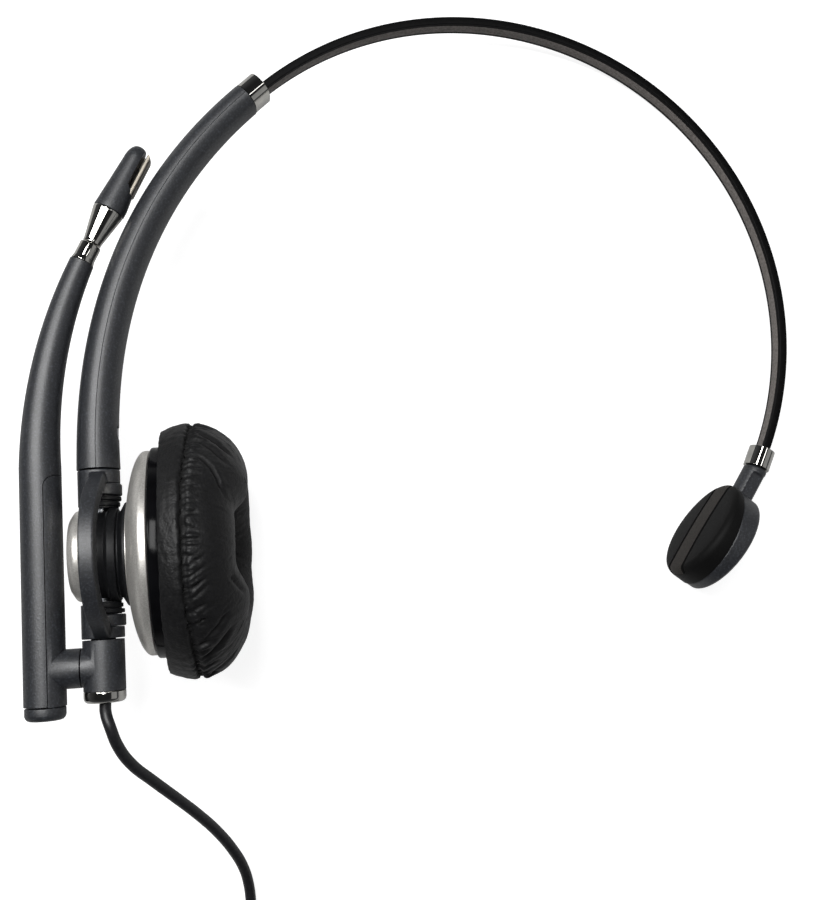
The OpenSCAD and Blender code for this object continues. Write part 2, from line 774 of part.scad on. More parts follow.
module ear_cushion() {
    plate_face = baffle_front + plate_thickness + seat_gap;
    edge = plate_radius + seat_gap;
    swell = mix(cushion_back_radius, cushion_radius, skirt_swell);
    color(black) rest() turn_x() polygon(concat(
        [[edge, baffle_front], [cushion_back_radius, baffle_front], [swell, baffle_front + cushion_skirt / 4]],
        [for (i = [0:lobe_steps]) lobe_point(cushion_radius, 90 * i / lobe_steps)],
        [for (i = [lobe_steps - 1:-1:0]) lobe_point(cushion_hollow, 90 * i / lobe_steps)],
        [[cushion_hollow, plate_face], [edge, plate_face]]
    ));
}
module dish_screws() {
    seat = dish_rim - baffle_tail - seat_gap;
    color(steel) rest() at_dish_screws() {
        along_x(seat - dish_screw_head_height, seat, dish_screw_head_r);
        along_x(seat, screw_tip, dish_screw_r);
    }
}

// The boom: a carriage on the pivot, and the tube that slides up it
module boom_frame() {
    translate([-boom_reach, 0, 0]) children();
}
module carriage_outline(gap) {
    edge = slide_seam - gap;
    mid = slide_seam + carriage_corner;
    low = carriage_top - carriage_corner;
    translate([edge, boom_foot - over]) square([boom_width, low - boom_foot + over]);
    translate([mid, low]) square([boom_width, carriage_corner + gap]);
    translate([mid, low]) circle(r = carriage_corner + gap);
}
module carriage_side(gap) {
    translate([0, 0, -boom_width]) linear_extrude(2 * boom_width) carriage_outline(gap);
}
module rail(top, gap) {
    neck = rail_neck / 2 + gap;
    head = rail_head / 2 + gap;
    deep = slide_seam - rail_depth;
    length = top - boom_foot + gap;
    translate([deep + rail_lip - gap, boom_foot - gap, -neck]) cube([rail_depth + gap, length, 2 * neck]);
    translate([deep - gap, boom_foot - gap, -head]) cube([rail_lip + 2 * gap, length, 2 * head]);
}
rail_stop = 4;
rail_top = carriage_top - rail_stop;
pin_wall = 1;
cap_screw_x = slide_seam + 1.4;
cap_screw_r = 0.6;
cap_screw_head_r = 1.2;
cap_screw_sink = 0.2;
cap_screw_seat = 1;
cap_screw_length = 3.6;
module boom_carriage() {
    color(charcoal) rest() difference() {
        union() {
            boom_frame() {
                intersection() {
                    along_y(boom_foot, carriage_top, boom_r);
                    carriage_side(0);
                }
                rail(rail_top, 0);
            }
            translate([0, pivot_y, 0]) along_x(-boom_reach + slide_seam, -stub_face, stub_r);
        }
        translate([0, pivot_y, 0]) along_x(-boom_reach + slide_seam + pin_wall, 0, pivot_r + seat_gap);
        boom_frame() translate([cap_screw_x, 0, 0])
            along_y(boom_foot - over, boom_foot + cap_screw_length + seat_gap, cap_screw_r + seat_gap);
    }
}
module boom_end_cap() {
    round = 0.9;
    top = -boom_foot + seam_gap;
    length = end_cap_length - seam_gap;
    r = boom_r - seam_gap;
    color(charcoal) rest() difference() {
        boom_frame() mirror([0, 1, 0]) rotate([-90, 0, 0]) rotate_extrude() {
            translate([0, top]) square([r, length - round]);
            translate([0, top]) square([r - round, length]);
            translate([r - round, top + length - round]) circle(r = round);
        }
        boom_frame() translate([cap_screw_x, 0, 0]) {
            along_y(cap_foot - over, boom_foot, cap_screw_r + seat_gap);
            along_y(cap_foot - over, cap_foot + cap_screw_seat, cap_screw_head_r + seat_gap);
        }
    }
}
module end_cap_screw() {
    seat = cap_foot + cap_screw_seat - seat_gap;
    color(steel) rest() boom_frame() translate([cap_screw_x, 0, 0]) {
        along_y(cap_foot + cap_screw_sink, seat, cap_screw_head_r);
        along_y(seat, boom_foot + cap_screw_length, cap_screw_r);
    }
}
clip_thickness = 0.6;
clip_wall = 0.5;
clip_inset = 1;
pin_tip = 0.2;
clip_x = -(tee_r - tee_wall) + clip_inset;
module boom_pivot_pin() {
    color(steel) rest() translate([0, pivot_y, 0]) {
        along_x(-boom_reach + slide_seam + pin_wall + seat_gap, clip_x + clip_thickness + pin_tip, pivot_r);
    }
}
module pivot_clip() {
    color(steel) rest() translate([0, pivot_y, 0]) difference() {
        along_x(clip_x, clip_x + clip_thickness, pivot_r + clip_wall);
        along_x(clip_x - over, clip_x + clip_thickness + over, pivot_r + seat_gap);
    }
}
boom_steps = 14;
boom_sides = 32;
boom_skin = 0.02;
function boom_ring_points(angle, drop) =
    let(r = mix(boom_width, boom_tip_width, angle / boom_bend) / 2 - boom_skin)
    let(x = -boom_reach + boom_bend_radius * (1 - cos(angle)))
    let(y = boom_bend_start + boom_bend_radius * sin(angle) - drop)
    [
        for (i = [0:boom_sides - 1])
            let(a = -360 * i / boom_sides, c = r * cos(a))
            [x + c * cos(angle), y - c * sin(angle), r * sin(a)]
    ];
module boom_tube() {
    color(charcoal) rest() {
        difference() {
            boom_frame() along_y(boom_foot + seam_gap, boom_bend_start, boom_r);
            boom_frame() carriage_side(seam_gap);
            boom_frame() rail(rail_top, seam_gap);
        }
        sweep(concat(
            [boom_ring_points(0, lap)],
            [for (j = [1:boom_steps]) boom_ring_points(boom_bend * j / boom_steps, 0)]
        ));
    }
}

// The microphone on the boom's tip, drawn up its own axis
boom_tip = [
    -boom_reach + boom_bend_radius * (1 - cos(boom_bend)),
    boom_bend_start + boom_bend_radius * sin(boom_bend),
    0
];
neck_r = mic_neck_width / 2;
cone_start = mic_ring_length + move_gap;
cone_end = cone_start + mic_cone_length;
mic_end = cone_end + mic_length;
mic_r = mic_width / 2;
mic_spigot_r = 1;
module mic_frame() {
    translate(boom_tip) rotate([0, 0, -boom_bend - mic_turn]) children();
}
ring_foot = 0.1;
spigot_foot = 1;
module boom_ring() {
    color(chrome) rest() mic_frame() difference() {
        rotate([-90, 0, 0]) translate([0, 0, ring_foot])
            cylinder(h = mic_ring_length - ring_foot, r1 = boom_tip_width / 2 - ring_foot, r2 = neck_r);
        along_y(spigot_foot, mic_ring_length + over, mic_spigot_r + run_gap);
    }
}
cone_neck = 0.45;
cone_neck_height = 0.8;
cone_collar = 3;
cone_waist = 1;
module mic_cone() {
    color(chrome) rest() mic_frame() {
        rotate([-90, 0, 0]) rotate_extrude() polygon([
            [0, cone_start], [neck_r - cone_neck, cone_start],
            [neck_r - cone_neck / 2, cone_start + cone_neck_height],
            [mic_r - cone_waist, cone_end - cone_collar], [mic_r, cone_end], [0, cone_end]
        ]);
        along_y(spigot_foot + move_gap, cone_start + lap, mic_spigot_r);
    }
}
port_inset = 0.6;
port_start = mic_end - port_length - port_inset;
port_floor = 1.3;
belly_thin = 0.7;
nose_length = 5;
nose_blunt = 0.25;
belly_length = 8;
capsule_back = 2.8;
capsule_front = 4.6;
module mic_housing() {
    belly = mic_r - belly_thin;
    color(charcoal) rest() mic_frame() difference() {
        rotate([-90, 0, 0]) rotate_extrude() polygon(concat(
            [[0, cone_end + seat_gap], [mic_r, cone_end + seat_gap], [belly, mic_end - belly_length]],
            [
                for (a = [0:10:90])
                    [belly * mix(cos(a), 1, nose_blunt), mic_end - nose_length * (1 - sin(a))]
            ],
            [[0, mic_end]]
        ));
        translate([port_floor, port_start, -port_width / 2])
            cube([mic_r, port_length + port_inset + over, port_width]);
        along_y(
            port_start - capsule_back - port_inset, port_start + capsule_front + port_inset,
            capsule_width / 2 + seat_gap
        );
    }
}
port_wall = 0.9;
port_sink = 0.3;
port_nose = 1;
slot_height = 0.9;
slot_pitch = 1.8;
slot_first = 3;
slot_share = 0.7;
module mic_port() {
    stand = mic_r - port_sink;
    half = port_width / 2 - seat_gap;
    floor = port_floor + port_wall;
    color(chrome) rest() mic_frame() difference() {
        intersection() {
            translate([floor + seat_gap, port_start + seat_gap, -half])
                cube([stand - floor, port_length - port_nose, 2 * half]);
            along_y(port_start, mic_end, stand);
        }
        for (i = [0:2]) translate([port_floor, port_start + slot_first + slot_pitch * i, -half * slot_share])
            cube([mic_r, slot_height, 2 * half * slot_share]);
    }
}
module mic_capsule() {
    color(steel) rest() mic_frame()
        along_y(port_start - capsule_back, port_start + capsule_front, capsule_width / 2);
}

// The head band and its temple pad
module headband_strip() {
    half = band_thickness / 2;
    color(black) rest() {
        strip_space(band_end - arc_angle(strip_insert), tang_start, 0);
        band_sector(
            tang_start - arc_angle(lap), strip_tail, band_radius - half, band_radius + half, tang_width
        );
    }
}
stop_height = 1.3;
module band_stop() {
    inner = band_radius + band_thickness / 2;
    color(steel) rest() band_sector(
        strip_tail - arc_angle(stop_length), strip_tail, inner + seat_gap / 2, inner + stop_height, tang_width
    );
}
module pad_frame() {
    on_band(band_end) translate([0, -pad_ferrule_length, 0]) rotate([0, pad_turn, 0]) children();
}
module pad_disc() {
    rotate([0, 0, -stem_lean]) translate([0, -pad_drop, 0]) rotate([0, 0, stem_lean - pad_lean]) children();
}
spigot_length = 2;
stem_collar = 1.4;
stem_sink = 4;
ferrule_wall = 0.8;
module pad_ferrule() {
    color(chrome) rest() difference() {
        on_band(band_end) rotate([90, 0, 0]) linear_extrude(pad_ferrule_length)
            slot_shape(pad_ferrule_width, band_width + 2 * ferrule_wall);
        strip_space(band_end - arc_angle(strip_insert + seat_gap), band_end + arc_angle(over), seat_gap);
        pad_frame() along_y(-over, spigot_length + move_gap, spigot_width / 2 + run_gap);
    }
}
module pad_shell() {
    color(charcoal) rest() pad_frame() {
        along_y(-stem_collar, -move_gap, stem_width / 2);
        rotate([0, 0, -stem_lean])
            along_y(pad_radius - stem_sink - pad_drop, lap - stem_collar, stem_width / 2);
        along_y(-move_gap - lap, spigot_length, spigot_width / 2);
        pad_disc() turn_x() polygon(concat(
            [[0, pad_split], [pad_shell_r, pad_split], [pad_shell_r, pad_rim]],
            [for (a = [10:10:90]) [pad_shell_r * cos(a), pad_rim + (pad_back - pad_rim) * sin(a)]]
        ));
    }
}
pad_face = pad_split - pad_thickness;
pad_edge = 0.6;
pad_dome = 0.2;
pad_base = 0.2;
rib_seat = 1;
rib_inset = 0.4;
module pad_cushion() {
    round = pad_thickness - pad_edge - pad_base;
    base = pad_split - seat_gap;
    color(black) rest() pad_frame() pad_disc() difference() {
        turn_x() polygon(concat(
            [[0, base], [pad_radius, base]],
            [
                for (a = [0:15:90])
                    [pad_radius - round + round * cos(a), pad_face + pad_edge + round * (1 - sin(a))]
            ],
            [[pad_radius / 2, pad_face + pad_dome], [0, pad_face]]
        ));
        translate([pad_face - over, -pad_radius - over, -rib_width / 2 - seat_gap])
            cube([rib_seat + over, 2 * (pad_radius + over), rib_width + 2 * seat_gap]);
    }
}
module pad_rib() {
    top = pad_face - rib_height;
    seat = pad_face + rib_seat - seat_gap;
    color(black) rest() pad_frame() pad_disc() intersection() {
        along_x(top, seat, pad_radius - rib_inset);
        translate([top - over, -pad_radius, -rib_width / 2])
            cube([seat - top + 2 * over, 2 * pad_radius, rib_width]);
    }
}

// The cord lies on the table: down from the tee, round into its coil, and out to the plug
coil_centre = [-32.3, -160];
coil_width = coil_columns * cord_width;
coil_height = coil_layers * cord_width;
coil_left = coil_centre.x - coil_radius;
coil_low = coil_centre.y - coil_radius;
cord_lift = 0.05;
cord_lay = cord_r + cord_lift;
plug_start = [coil_centre.x + 27, coil_low];
cord_route = [
    laid([0, 1 - tee_foot, 0]), laid([0, cord_exit - 1.5, 0]), [-72.9, -84, 35], [-71.8, -88.5, 33.4],
    [-69.8, -93, 30.7], [-66, -98.2, 26.2], [-62, -103.4, 21.5], [-58, -108.7, 16.9], [-54.5, -114.1, 12.5],
    [-51.4, -119.8, 8.5], [-49.5, -124.7, 5.7], [-48.4, -129, 3.8], [-47.6, -135, 2.2],
    [coil_left - 0.4, -143, cord_lay + 0.3], [coil_left, -151, cord_lay], [coil_left, -158, cord_lay]
];
tail_route = [
    [coil_centre.x, coil_low, cord_lay], [coil_centre.x + 8, coil_low, cord_lay + 0.4],
    [coil_centre.x + 16, coil_low, cord_lay + 1.4], [coil_centre.x + 23, coil_low, plug_width / 2],
    [plug_start.x + 1.5, coil_low, plug_width / 2]
];
plug_height = plug_width / 2;
cord_sides = 8;

function spline_point(p, i, t) =
    let(a = p[max(i - 1, 0)], b = p[i], c = p[i + 1], d = p[min(i + 2, len(p) - 1)])
    0.5 * (2 * b + (c - a) * t + (2 * a - 5 * b + 4 * c - d) * t * t + (3 * b - a - 3 * c + d) * t * t * t);
function route_points(p, steps) = concat(
    [for (i = [0:len(p) - 2], k = [0:steps - 1]) spline_point(p, i, k / steps)], [p[len(p) - 1]]
);
function unit(v) = v / norm(v);
function cord_ring(path, i) =
    let(run = unit(path[min(i + 1, len(path) - 1)] - path[max(i - 1, 0)]))
    let(side = unit(cross(run, [0, 0, 1])), lift = cross(side, run))
    [
        for (k = [0:cord_sides - 1])
            let(a = -360 * k / cord_sides)
            path[i] + cord_r * (cos(a) * side + sin(a) * lift)
    ];
module cord_tube(route) {
    path = route_points(route, 2);
    sweep([for (i = [0:len(path) - 1]) cord_ring(path, i)]);
}
module cable() {
    color(black) cord_tube(cord_route);
}
module cable_tail() {
    color(black) cord_tube(tail_route);
}
module coil_shape(gap) {
    r = 2;
    width = coil_width + 2 * gap;
    height = coil_height + 2 * gap;
    translate([coil_radius, coil_height / 2]) {
        square([width, height - 2 * r], center = true);
        square([width - 2 * r, height], center = true);
        for (x = [-1, 1], y = [-1, 1]) translate([x * (width / 2 - r), y * (height / 2 - r)]) circle(r = r);
    }
}
module cable_coil() {
    color(black) translate(coil_centre) rotate_extrude() coil_shape(0);
}
tie_place = 95;
tie_angle = 26;
tie_wall = 1;
module coil_tie() {
    color(charcoal) translate(coil_centre) rotate([0, 0, tie_place]) intersection() {
        difference() {
            rotate_extrude(angle = tie_angle) coil_shape(tie_wall);
            rotate([0, 0, -over]) rotate_extrude(angle = tie_angle + 2 * over) coil_shape(seat_gap);
        }
        cylinder(h = coil_height + 2 * tie_wall, r = 2 * coil_radius);
    }
}
module plug_frame() {
    translate([plug_start.x, plug_start.y, plug_height]) children();
}
boot_length = 9;
boot_overlap = 2;
boot_wall = 0.6;
boot_step = 0.8;
module plug_boot() {
    color(black) plug_frame() difference() {
        rotate([0, 90, 0]) cylinder(h = boot_length, r1 = cord_r + boot_wall, r2 = plug_width / 2 - boot_step);
        along_x(-over, boot_overlap, cord_r);
    }
}
module plug_handle() {
    round = 0.8;
    r = plug_width / 2;
    color(black) plug_frame() translate([boot_length + seat_gap, 0, 0]) turn_x() {
        translate([0, round]) square([r, plug_length - 2 * round]);
        square([r - round, plug_length]);
        for (y = [round, plug_length - round]) translate([r - round, y]) circle(r = round);
    }
}
jack_start = boot_length + plug_length + 2 * seat_gap;
ring_width = 0.8;
ring_depth = 0.4;
flange_r = 0.6;
flange_width = 0.8;
tip_waist = 0.5;
tip_places = [3.2, 2.6, 1.6];
function ring_place(i) = jack_length * (0.32 + 0.2 * i);
module jack_ring(gap) {
    difference() {
        along_x(gap, ring_width - gap, jack_width / 2 + (gap == 0 ? over : 0));
        along_x(-over, ring_width + over, jack_width / 2 - ring_depth + gap);
    }
}
module jack_pin() {
    r = jack_width / 2;
    color(chrome) plug_frame() translate([jack_start, 0, 0]) difference() {
        turn_x() polygon([
            [0, 0], [r + flange_r, 0], [r + flange_r, flange_width], [r, flange_width],
            [r, jack_length - tip_places[0]], [r - tip_waist, jack_length - tip_places[1]],
            [r, jack_length - tip_places[2]], [tip_waist, jack_length], [0, jack_length]
        ]);
        for (i = [0:2]) translate([ring_place(i), 0, 0]) jack_ring(0);
    }
}
module jack_rings() {
    color(black) plug_frame() translate([jack_start, 0, 0])
        for (i = [0:2]) translate([ring_place(i), 0, 0]) jack_ring(seat_gap);
}

arm_outer_shell();
arm_inner_shell();
arm_plug();
arm_screw();
arm_ferrule();
band_guide();
brake_spring();
yoke();
upper_bush();
lower_bush();
tee_body();
tee_ferrule();
cord_grommet();
hub_cap();
hub_body();
swivel_pins();
upper_knuckle();
lower_knuckle();
speaker_dish();
speaker_baffle();
driver_magnet();
driver_basket();
driver_cone();
driver_grille();
cushion_plate();
ear_cushion();
dish_screws();
boom_carriage();
boom_end_cap();
boom_pivot_pin();
pivot_clip();
end_cap_screw();
boom_tube();
boom_ring();
mic_cone();
mic_housing();
mic_port();
mic_capsule();
headband_strip();
band_stop();
pad_ferrule();
pad_shell();
pad_cushion();
pad_rib();
cable();
cable_tail();
cable_coil();
coil_tie();
plug_boot();
plug_handle();
jack_pin();
jack_rings();
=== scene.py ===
import json
import bmesh
import bpy
import numpy as np
from math import atan2, cos, degrees, exp, pi, radians, sin, tan
from mathutils import Euler, Matrix, Vector


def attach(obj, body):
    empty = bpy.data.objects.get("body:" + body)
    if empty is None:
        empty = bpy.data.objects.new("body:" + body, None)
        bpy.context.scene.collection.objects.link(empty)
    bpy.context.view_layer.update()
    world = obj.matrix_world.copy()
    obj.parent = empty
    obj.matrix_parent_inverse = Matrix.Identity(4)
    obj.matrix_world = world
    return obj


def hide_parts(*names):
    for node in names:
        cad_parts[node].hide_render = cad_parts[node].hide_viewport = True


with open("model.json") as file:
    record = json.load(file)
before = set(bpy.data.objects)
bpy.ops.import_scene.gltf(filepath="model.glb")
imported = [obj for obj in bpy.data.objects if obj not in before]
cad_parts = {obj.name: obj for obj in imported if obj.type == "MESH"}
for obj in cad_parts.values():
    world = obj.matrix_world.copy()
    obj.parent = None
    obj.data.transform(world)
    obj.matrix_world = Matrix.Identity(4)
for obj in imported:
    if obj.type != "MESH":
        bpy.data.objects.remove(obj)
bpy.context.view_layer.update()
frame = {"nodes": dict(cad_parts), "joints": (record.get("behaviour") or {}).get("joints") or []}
print("frame loaded:", len(frame["nodes"]), "nodes")

# The headset's own frame: x along the ear cup's axis to the head, y up the arm, z to the viewer.
# Sizes are in millimetres there, and the hub matrix takes them to the row frame in metres.
mm = 0.001
joints = {joint["name"]: joint for joint in frame["joints"]}
hubAt = Vector(joints["earcup_swivel"]["pos_m"])
armWay = Vector(joints["earcup_swivel"]["axis"]).normalized()
earWay = Vector(joints["boom_pivot"]["axis"]).normalized()
turnHub = Matrix((earWay, armWay, earWay.cross(armWay))).transposed().to_4x4()
placeHub = Matrix.Translation(hubAt) @ turnHub
rowMm = Matrix.Scale(mm, 4)
hub = placeHub @ rowMm

# Camera, as the photograph was taken: from above, a little left of and below the band's middle
view = {"place": (32.96, -12.75, 255.35), "turn": (7.907, -7.939, -3.739), "lens": 44, "film": 36}
cameraData = bpy.data.cameras.new("photoCamera")
cameraData.lens = view["lens"]
cameraData.sensor_fit = "VERTICAL"
cameraData.sensor_height = view["film"]
cameraData.clip_start = 0.01
camera = bpy.data.objects.new("photoCamera", cameraData)
bpy.context.scene.collection.objects.link(camera)
cameraTurn = Euler([radians(angle) for angle in view["turn"]]).to_matrix().to_4x4()
camera.matrix_world = placeHub @ Matrix.Translation(Vector(view["place"]) * mm) @ cameraTurn
bpy.context.scene.camera = camera
bpy.context.scene.view_settings.view_transform = "Standard"
print("camera placed")


# Materials
specular = "Specular IOR Level"


def toLinear(hexText):
    parts = [int(hexText[i:i + 2], 16) / 255 for i in (1, 3, 5)]
    return tuple(c / 12.92 if c <= 0.04045 else ((c + 0.055) / 1.055) ** 2.4 for c in parts) + (1.0,)


def perMm(size):
    return 1 / (size * mm)


# Adds a node with its settings, its inputs as links or values and the stops of a colour ramp.
# Gives back its outputs.
def addNode(tree, kind, inputs=None, stops=(), **settings):
    node = tree.nodes.new(kind)
    for key, value in settings.items():
        setattr(node, key, value)
    for key, value in (inputs or {}).items():
        for item in value if isinstance(value, list) else [value]:
            if isinstance(item, bpy.types.NodeSocket):
                tree.links.new(item, node.inputs[key])
            else:
                node.inputs[key].default_value = item
    if stops:
        elements = node.color_ramp.elements
        while len(elements) < len(stops):
            elements.new(0.5)
        for element, (at, hexText) in zip(elements, stops):
            element.position = at
            element.color = toLinear(hexText)
    return node.outputs


def startMaterial(name):
    material = bpy.data.materials.new(name)
    material.use_nodes = True
    tree = material.node_tree
    tree.nodes.clear()
    return material, tree, addNode(tree, "ShaderNodeTexCoord")["Object"]


def endMaterial(material, fixed, tint, gloss, bump=None):
    sockets = {**fixed, "Base Color": tint, "Roughness": gloss}
    if bump:
        sockets["Normal"] = bump["Normal"]
    shader = addNode(material.node_tree, "ShaderNodeBsdfPrincipled", sockets)
    addNode(material.node_tree, "ShaderNodeOutputMaterial", {"Surface": shader[0]})
    return material


# A finish with one grain, which varies its colour and gloss and may stand up a little
def grainedFinish(name, fixed, size, detail, colors, rough, relief=None):
    material, tree, place = startMaterial(name)
    noise = addNode(tree, "ShaderNodeTexNoise", {"Vector": place, "Scale": perMm(size), "Detail": detail})
    grain = noise["Fac"]
    tint = addNode(tree, "ShaderNodeValToRGB", {"Fac": grain}, list(zip((0.3, 0.7), colors)))
    gloss, bump = rough, None
    if isinstance(rough, tuple):
        low, high = rough
        gloss = addNode(tree, "ShaderNodeMapRange", {"Value": grain, "To Min": low, "To Max": high})["Result"]
    if relief:
        strength, depth = relief
        bump = addNode(tree, "ShaderNodeBump", {
            "Height": grain, "Strength": strength, "Distance": depth * mm,
        })
    return endMaterial(material, fixed, tint["Color"], gloss, bump)


# Moulded ABS with a soft-touch coat: dark blue-grey, satin, with a fine sparkling grain
def softTouchPlastic():
    material, tree, place = startMaterial("softTouchPlastic")
    grain = addNode(tree, "ShaderNodeTexNoise", {
        "Vector": place, "Scale": perMm(0.42), "Detail": 2.0, "Roughness": 0.6,
    })["Fac"]
    cloud = addNode(tree, "ShaderNodeTexNoise", {"Vector": place, "Scale": perMm(7), "Detail": 2.0})
    shades = [(0.28, "#15161a"), (0.55, "#232529"), (0.76, "#40444a")]
    tint = addNode(tree, "ShaderNodeValToRGB", {"Fac": grain}, shades)
    gloss = addNode(tree, "ShaderNodeMapRange", {"Value": cloud["Fac"], "To Min": 0.41, "To Max": 0.49})
    bump = addNode(tree, "ShaderNodeBump", {"Height": grain, "Strength": 0.7, "Distance": 0.05 * mm})
    return endMaterial(material, {specular: 0.82}, tint["Color"], gloss["Result"], bump)


# Silver lacquer with metal flake: warm light grey, each flake a little lighter or darker.
# Real flakes are finer, and are drawn coarse enough to show.
def silverPaint():
    material, tree, place = startMaterial("silverPaint")
    flake = addNode(tree, "ShaderNodeTexVoronoi", {"Vector": place, "Scale": perMm(0.2)})
    value = addNode(tree, "ShaderNodeSeparateColor", {"Color": flake["Color"]})
    shades = [(0.0, "#d3d0ca"), (0.5, "#dfdcd6"), (1.0, "#eae8e3")]
    tint = addNode(tree, "ShaderNodeValToRGB", {"Fac": value["Red"]}, shades)
    gloss = addNode(tree, "ShaderNodeMapRange", {"Value": value["Green"], "To Min": 0.36, "To Max": 0.46})
    bump = addNode(tree, "ShaderNodeBump", {"Height": value["Blue"], "Strength": 0.08, "Distance": 0.01 * mm})
    return endMaterial(material, {"Metallic": 0.78}, tint["Color"], gloss["Result"], bump)


# Spring steel in a black sleeve: dull black, with a brown-grey painted reflection of the floor's light on a
# strip of the face towards the head
def blackSpringSteel():
    material, tree, place = startMaterial("blackSpringSteel")
    grain = addNode(tree, "ShaderNodeTexNoise", {
        "Vector": place, "Scale": perMm(0.6), "Detail": 3.0,
    })["Fac"]
    black = addNode(tree, "ShaderNodeValToRGB", {"Fac": grain}, [(0.3, "#030303"), (0.7, "#0a0a0b")])
    # Painted reflection: a lighter brown-grey that stands in for the floor's light on the face towards the
    # head
    paintedFloorLight = addNode(tree, "ShaderNodeValToRGB", {"Fac": grain}, [(0.3, "#67625f"), (0.7, "#898480")])
    lining = addNode(tree, "ShaderNodeAttribute", attribute_name="lining")
    tint = addNode(tree, "ShaderNodeMix", {
        "Factor": lining["Fac"], 6: black["Color"], 7: paintedFloorLight["Color"],
    }, data_type="RGBA")
    gloss = addNode(tree, "ShaderNodeMapRange", {"Value": grain, "To Min": 0.4, "To Max": 0.55})
    return endMaterial(material, {specular: 0.1}, tint[2], gloss["Result"])


# Embossed leatherette: black vinyl skin with small pebbles and fine creases, with painted shade that darkens
# it down in the folds, puckers and the seam's groove
def leatherette():
    material, tree, place = startMaterial("leatherette")
    wobble = addNode(tree, "ShaderNodeTexNoise", {"Vector": place, "Scale": perMm(1.4), "Detail": 3.0})
    shift = addNode(tree, "ShaderNodeVectorMath", {0: wobble["Color"], 3: 0.6 * mm}, operation="SCALE")
    skin = addNode(tree, "ShaderNodeVectorMath", {0: place, 1: shift[0]})[0]
    pebble = addNode(tree, "ShaderNodeTexVoronoi", {"Vector": skin, "Scale": perMm(0.5)}, feature="SMOOTH_F1")
    crease = addNode(tree, "ShaderNodeTexNoise", {
        "Vector": skin, "Scale": perMm(0.8), "Detail": 5.0, "Roughness": 0.65,
    })
    height = addNode(tree, "ShaderNodeMath", {
        0: crease["Fac"], 1: pebble["Distance"],
    }, operation="SUBTRACT")
    # Painted shade: the crease attribute pulls the colour towards black where the skin is pushed in
    foldShade = addNode(tree, "ShaderNodeAttribute", attribute_name="crease")["Fac"]
    shades = [(0.1, "#131314"), (0.55, "#0e0e0f"), (0.8, "#060606")]
    vinyl = addNode(tree, "ShaderNodeValToRGB", {"Fac": pebble["Distance"]}, shades)
    tint = addNode(tree, "ShaderNodeMix", {
        "Factor": foldShade, 6: vinyl["Color"], 7: toLinear("#020202"),
    }, data_type="RGBA")
    satin = addNode(tree, "ShaderNodeMapRange", {"Value": wobble["Fac"], "To Min": 0.45, "To Max": 0.59})
    gloss = addNode(tree, "ShaderNodeMapRange", {"Value": foldShade, "To Min": satin["Result"], "To Max": 0.98})
    bump = addNode(tree, "ShaderNodeBump", {"Height": height[0], "Strength": 0.85, "Distance": 0.08 * mm})
    return endMaterial(material, {specular: 0.34}, tint[2], gloss["Result"], bump)


metal = {"Metallic": 1.0}
dusty = {specular: 0.16, "Sheen Weight": 0.04, "Sheen Roughness": 0.4}
finish = {
    "soft_touch_plastic": softTouchPlastic(),
    "silver_paint": silverPaint(),
    "black_spring_steel": blackSpringSteel(),
    "leatherette": leatherette(),
    # Plain moulded ABS: near black, satin, faintly uneven
    "black_plastic": grainedFinish(
        "blackPlastic", {specular: 0.32}, 0.5, 3, ("#101112", "#1b1c1f"), (0.42, 0.55), (0.2, 0.02)),
    # Polished black ABS: deep black with sharp reflections and a few soft waves
    "gloss_black": grainedFinish("glossBlack", {specular: 0.07}, 5, 1, ("#070708", "#0e0e10"), (0.09, 0.15)),
    # Chrome plate on ABS: a mirror with faint finger marks
    "chrome": grainedFinish("chromePlate", metal, 2.4, 4, ("#b6b5b1", "#c8c6c0"), (0.01, 0.03)),
    # Chrome plate on a blasted mould: a warm satin grey
    "satin_chrome": grainedFinish("satinChrome", metal, 2.4, 4, ("#77726a", "#8c867c"), (0.4, 0.5)),
    # Turned and zinc-plated steel: grey metal with fine turning marks
    "steel": grainedFinish("platedSteel", metal, 0.4, 4, ("#85888c", "#a9acb0"), (0.25, 0.42)),
    # Thin pressed film of a loudspeaker cone: brownish black and matt
    "cone_film": grainedFinish("coneFilm", {specular: 0.3}, 0.8, 3, ("#1a1816", "#2a2724"), 0.7),
    # Soft moulded rubber: black and matt, with a fine stipple and a dusty sheen at low angles
    "pad_rubber": grainedFinish("padRubber", dusty, 0.3, 3, ("#040404", "#0b0b0b"), (0.55, 0.7), (0.5, 0.04)),
    # The same rubber in a lighter brown-grey, painted light for the rib's top
    "painted_lit_rib_rubber": grainedFinish("paintedLitRibRubber", dusty, 0.3, 3, ("#211f1e", "#3c3834"), (0.55, 0.7), (0.5, 0.04)),
    # Extruded vinyl of a cord: black with a soft sheen
    "cord_vinyl": grainedFinish("cordVinyl", {specular: 0.5}, 0.7, 3, ("#121214", "#1d1d20"), (0.36, 0.5)),
}
print("materials made:", len(finish))


# Mesh helpers, in millimetres
def link(obj):
    bpy.context.scene.collection.objects.link(obj)
    return obj


# Rounds the corners that have a radius in a closed outline of (x, y) or (x, y, radius)
def roundCorners(points, steps=5):
    rounded = []
    for i, point in enumerate(points):
        here = Vector(point[:2])
        back = Vector(points[i - 1][:2]) - here
        ahead = Vector(points[(i + 1) % len(points)][:2]) - here
        if len(point) < 3 or back.length * ahead.length == 0:
            rounded.append(here)
            continue
        half = back.angle(ahead) / 2
        cut = min(point[2] / tan(half), 0.48 * back.length, 0.48 * ahead.length)
        back, ahead = back.normalized(), ahead.normalized()
        middle = here + (back + ahead).normalized() * cut / cos(half)
        first, last = here + back * cut - middle, here + ahead * cut - middle
        start = atan2(first.y, first.x)
        span = (atan2(last.y, last.x) - start + pi) % (2 * pi) - pi
        for k in range(steps + 1):
            a = start + span * k / steps
            rounded.append(middle + first.length * Vector((cos(a), sin(a))))
    return rounded


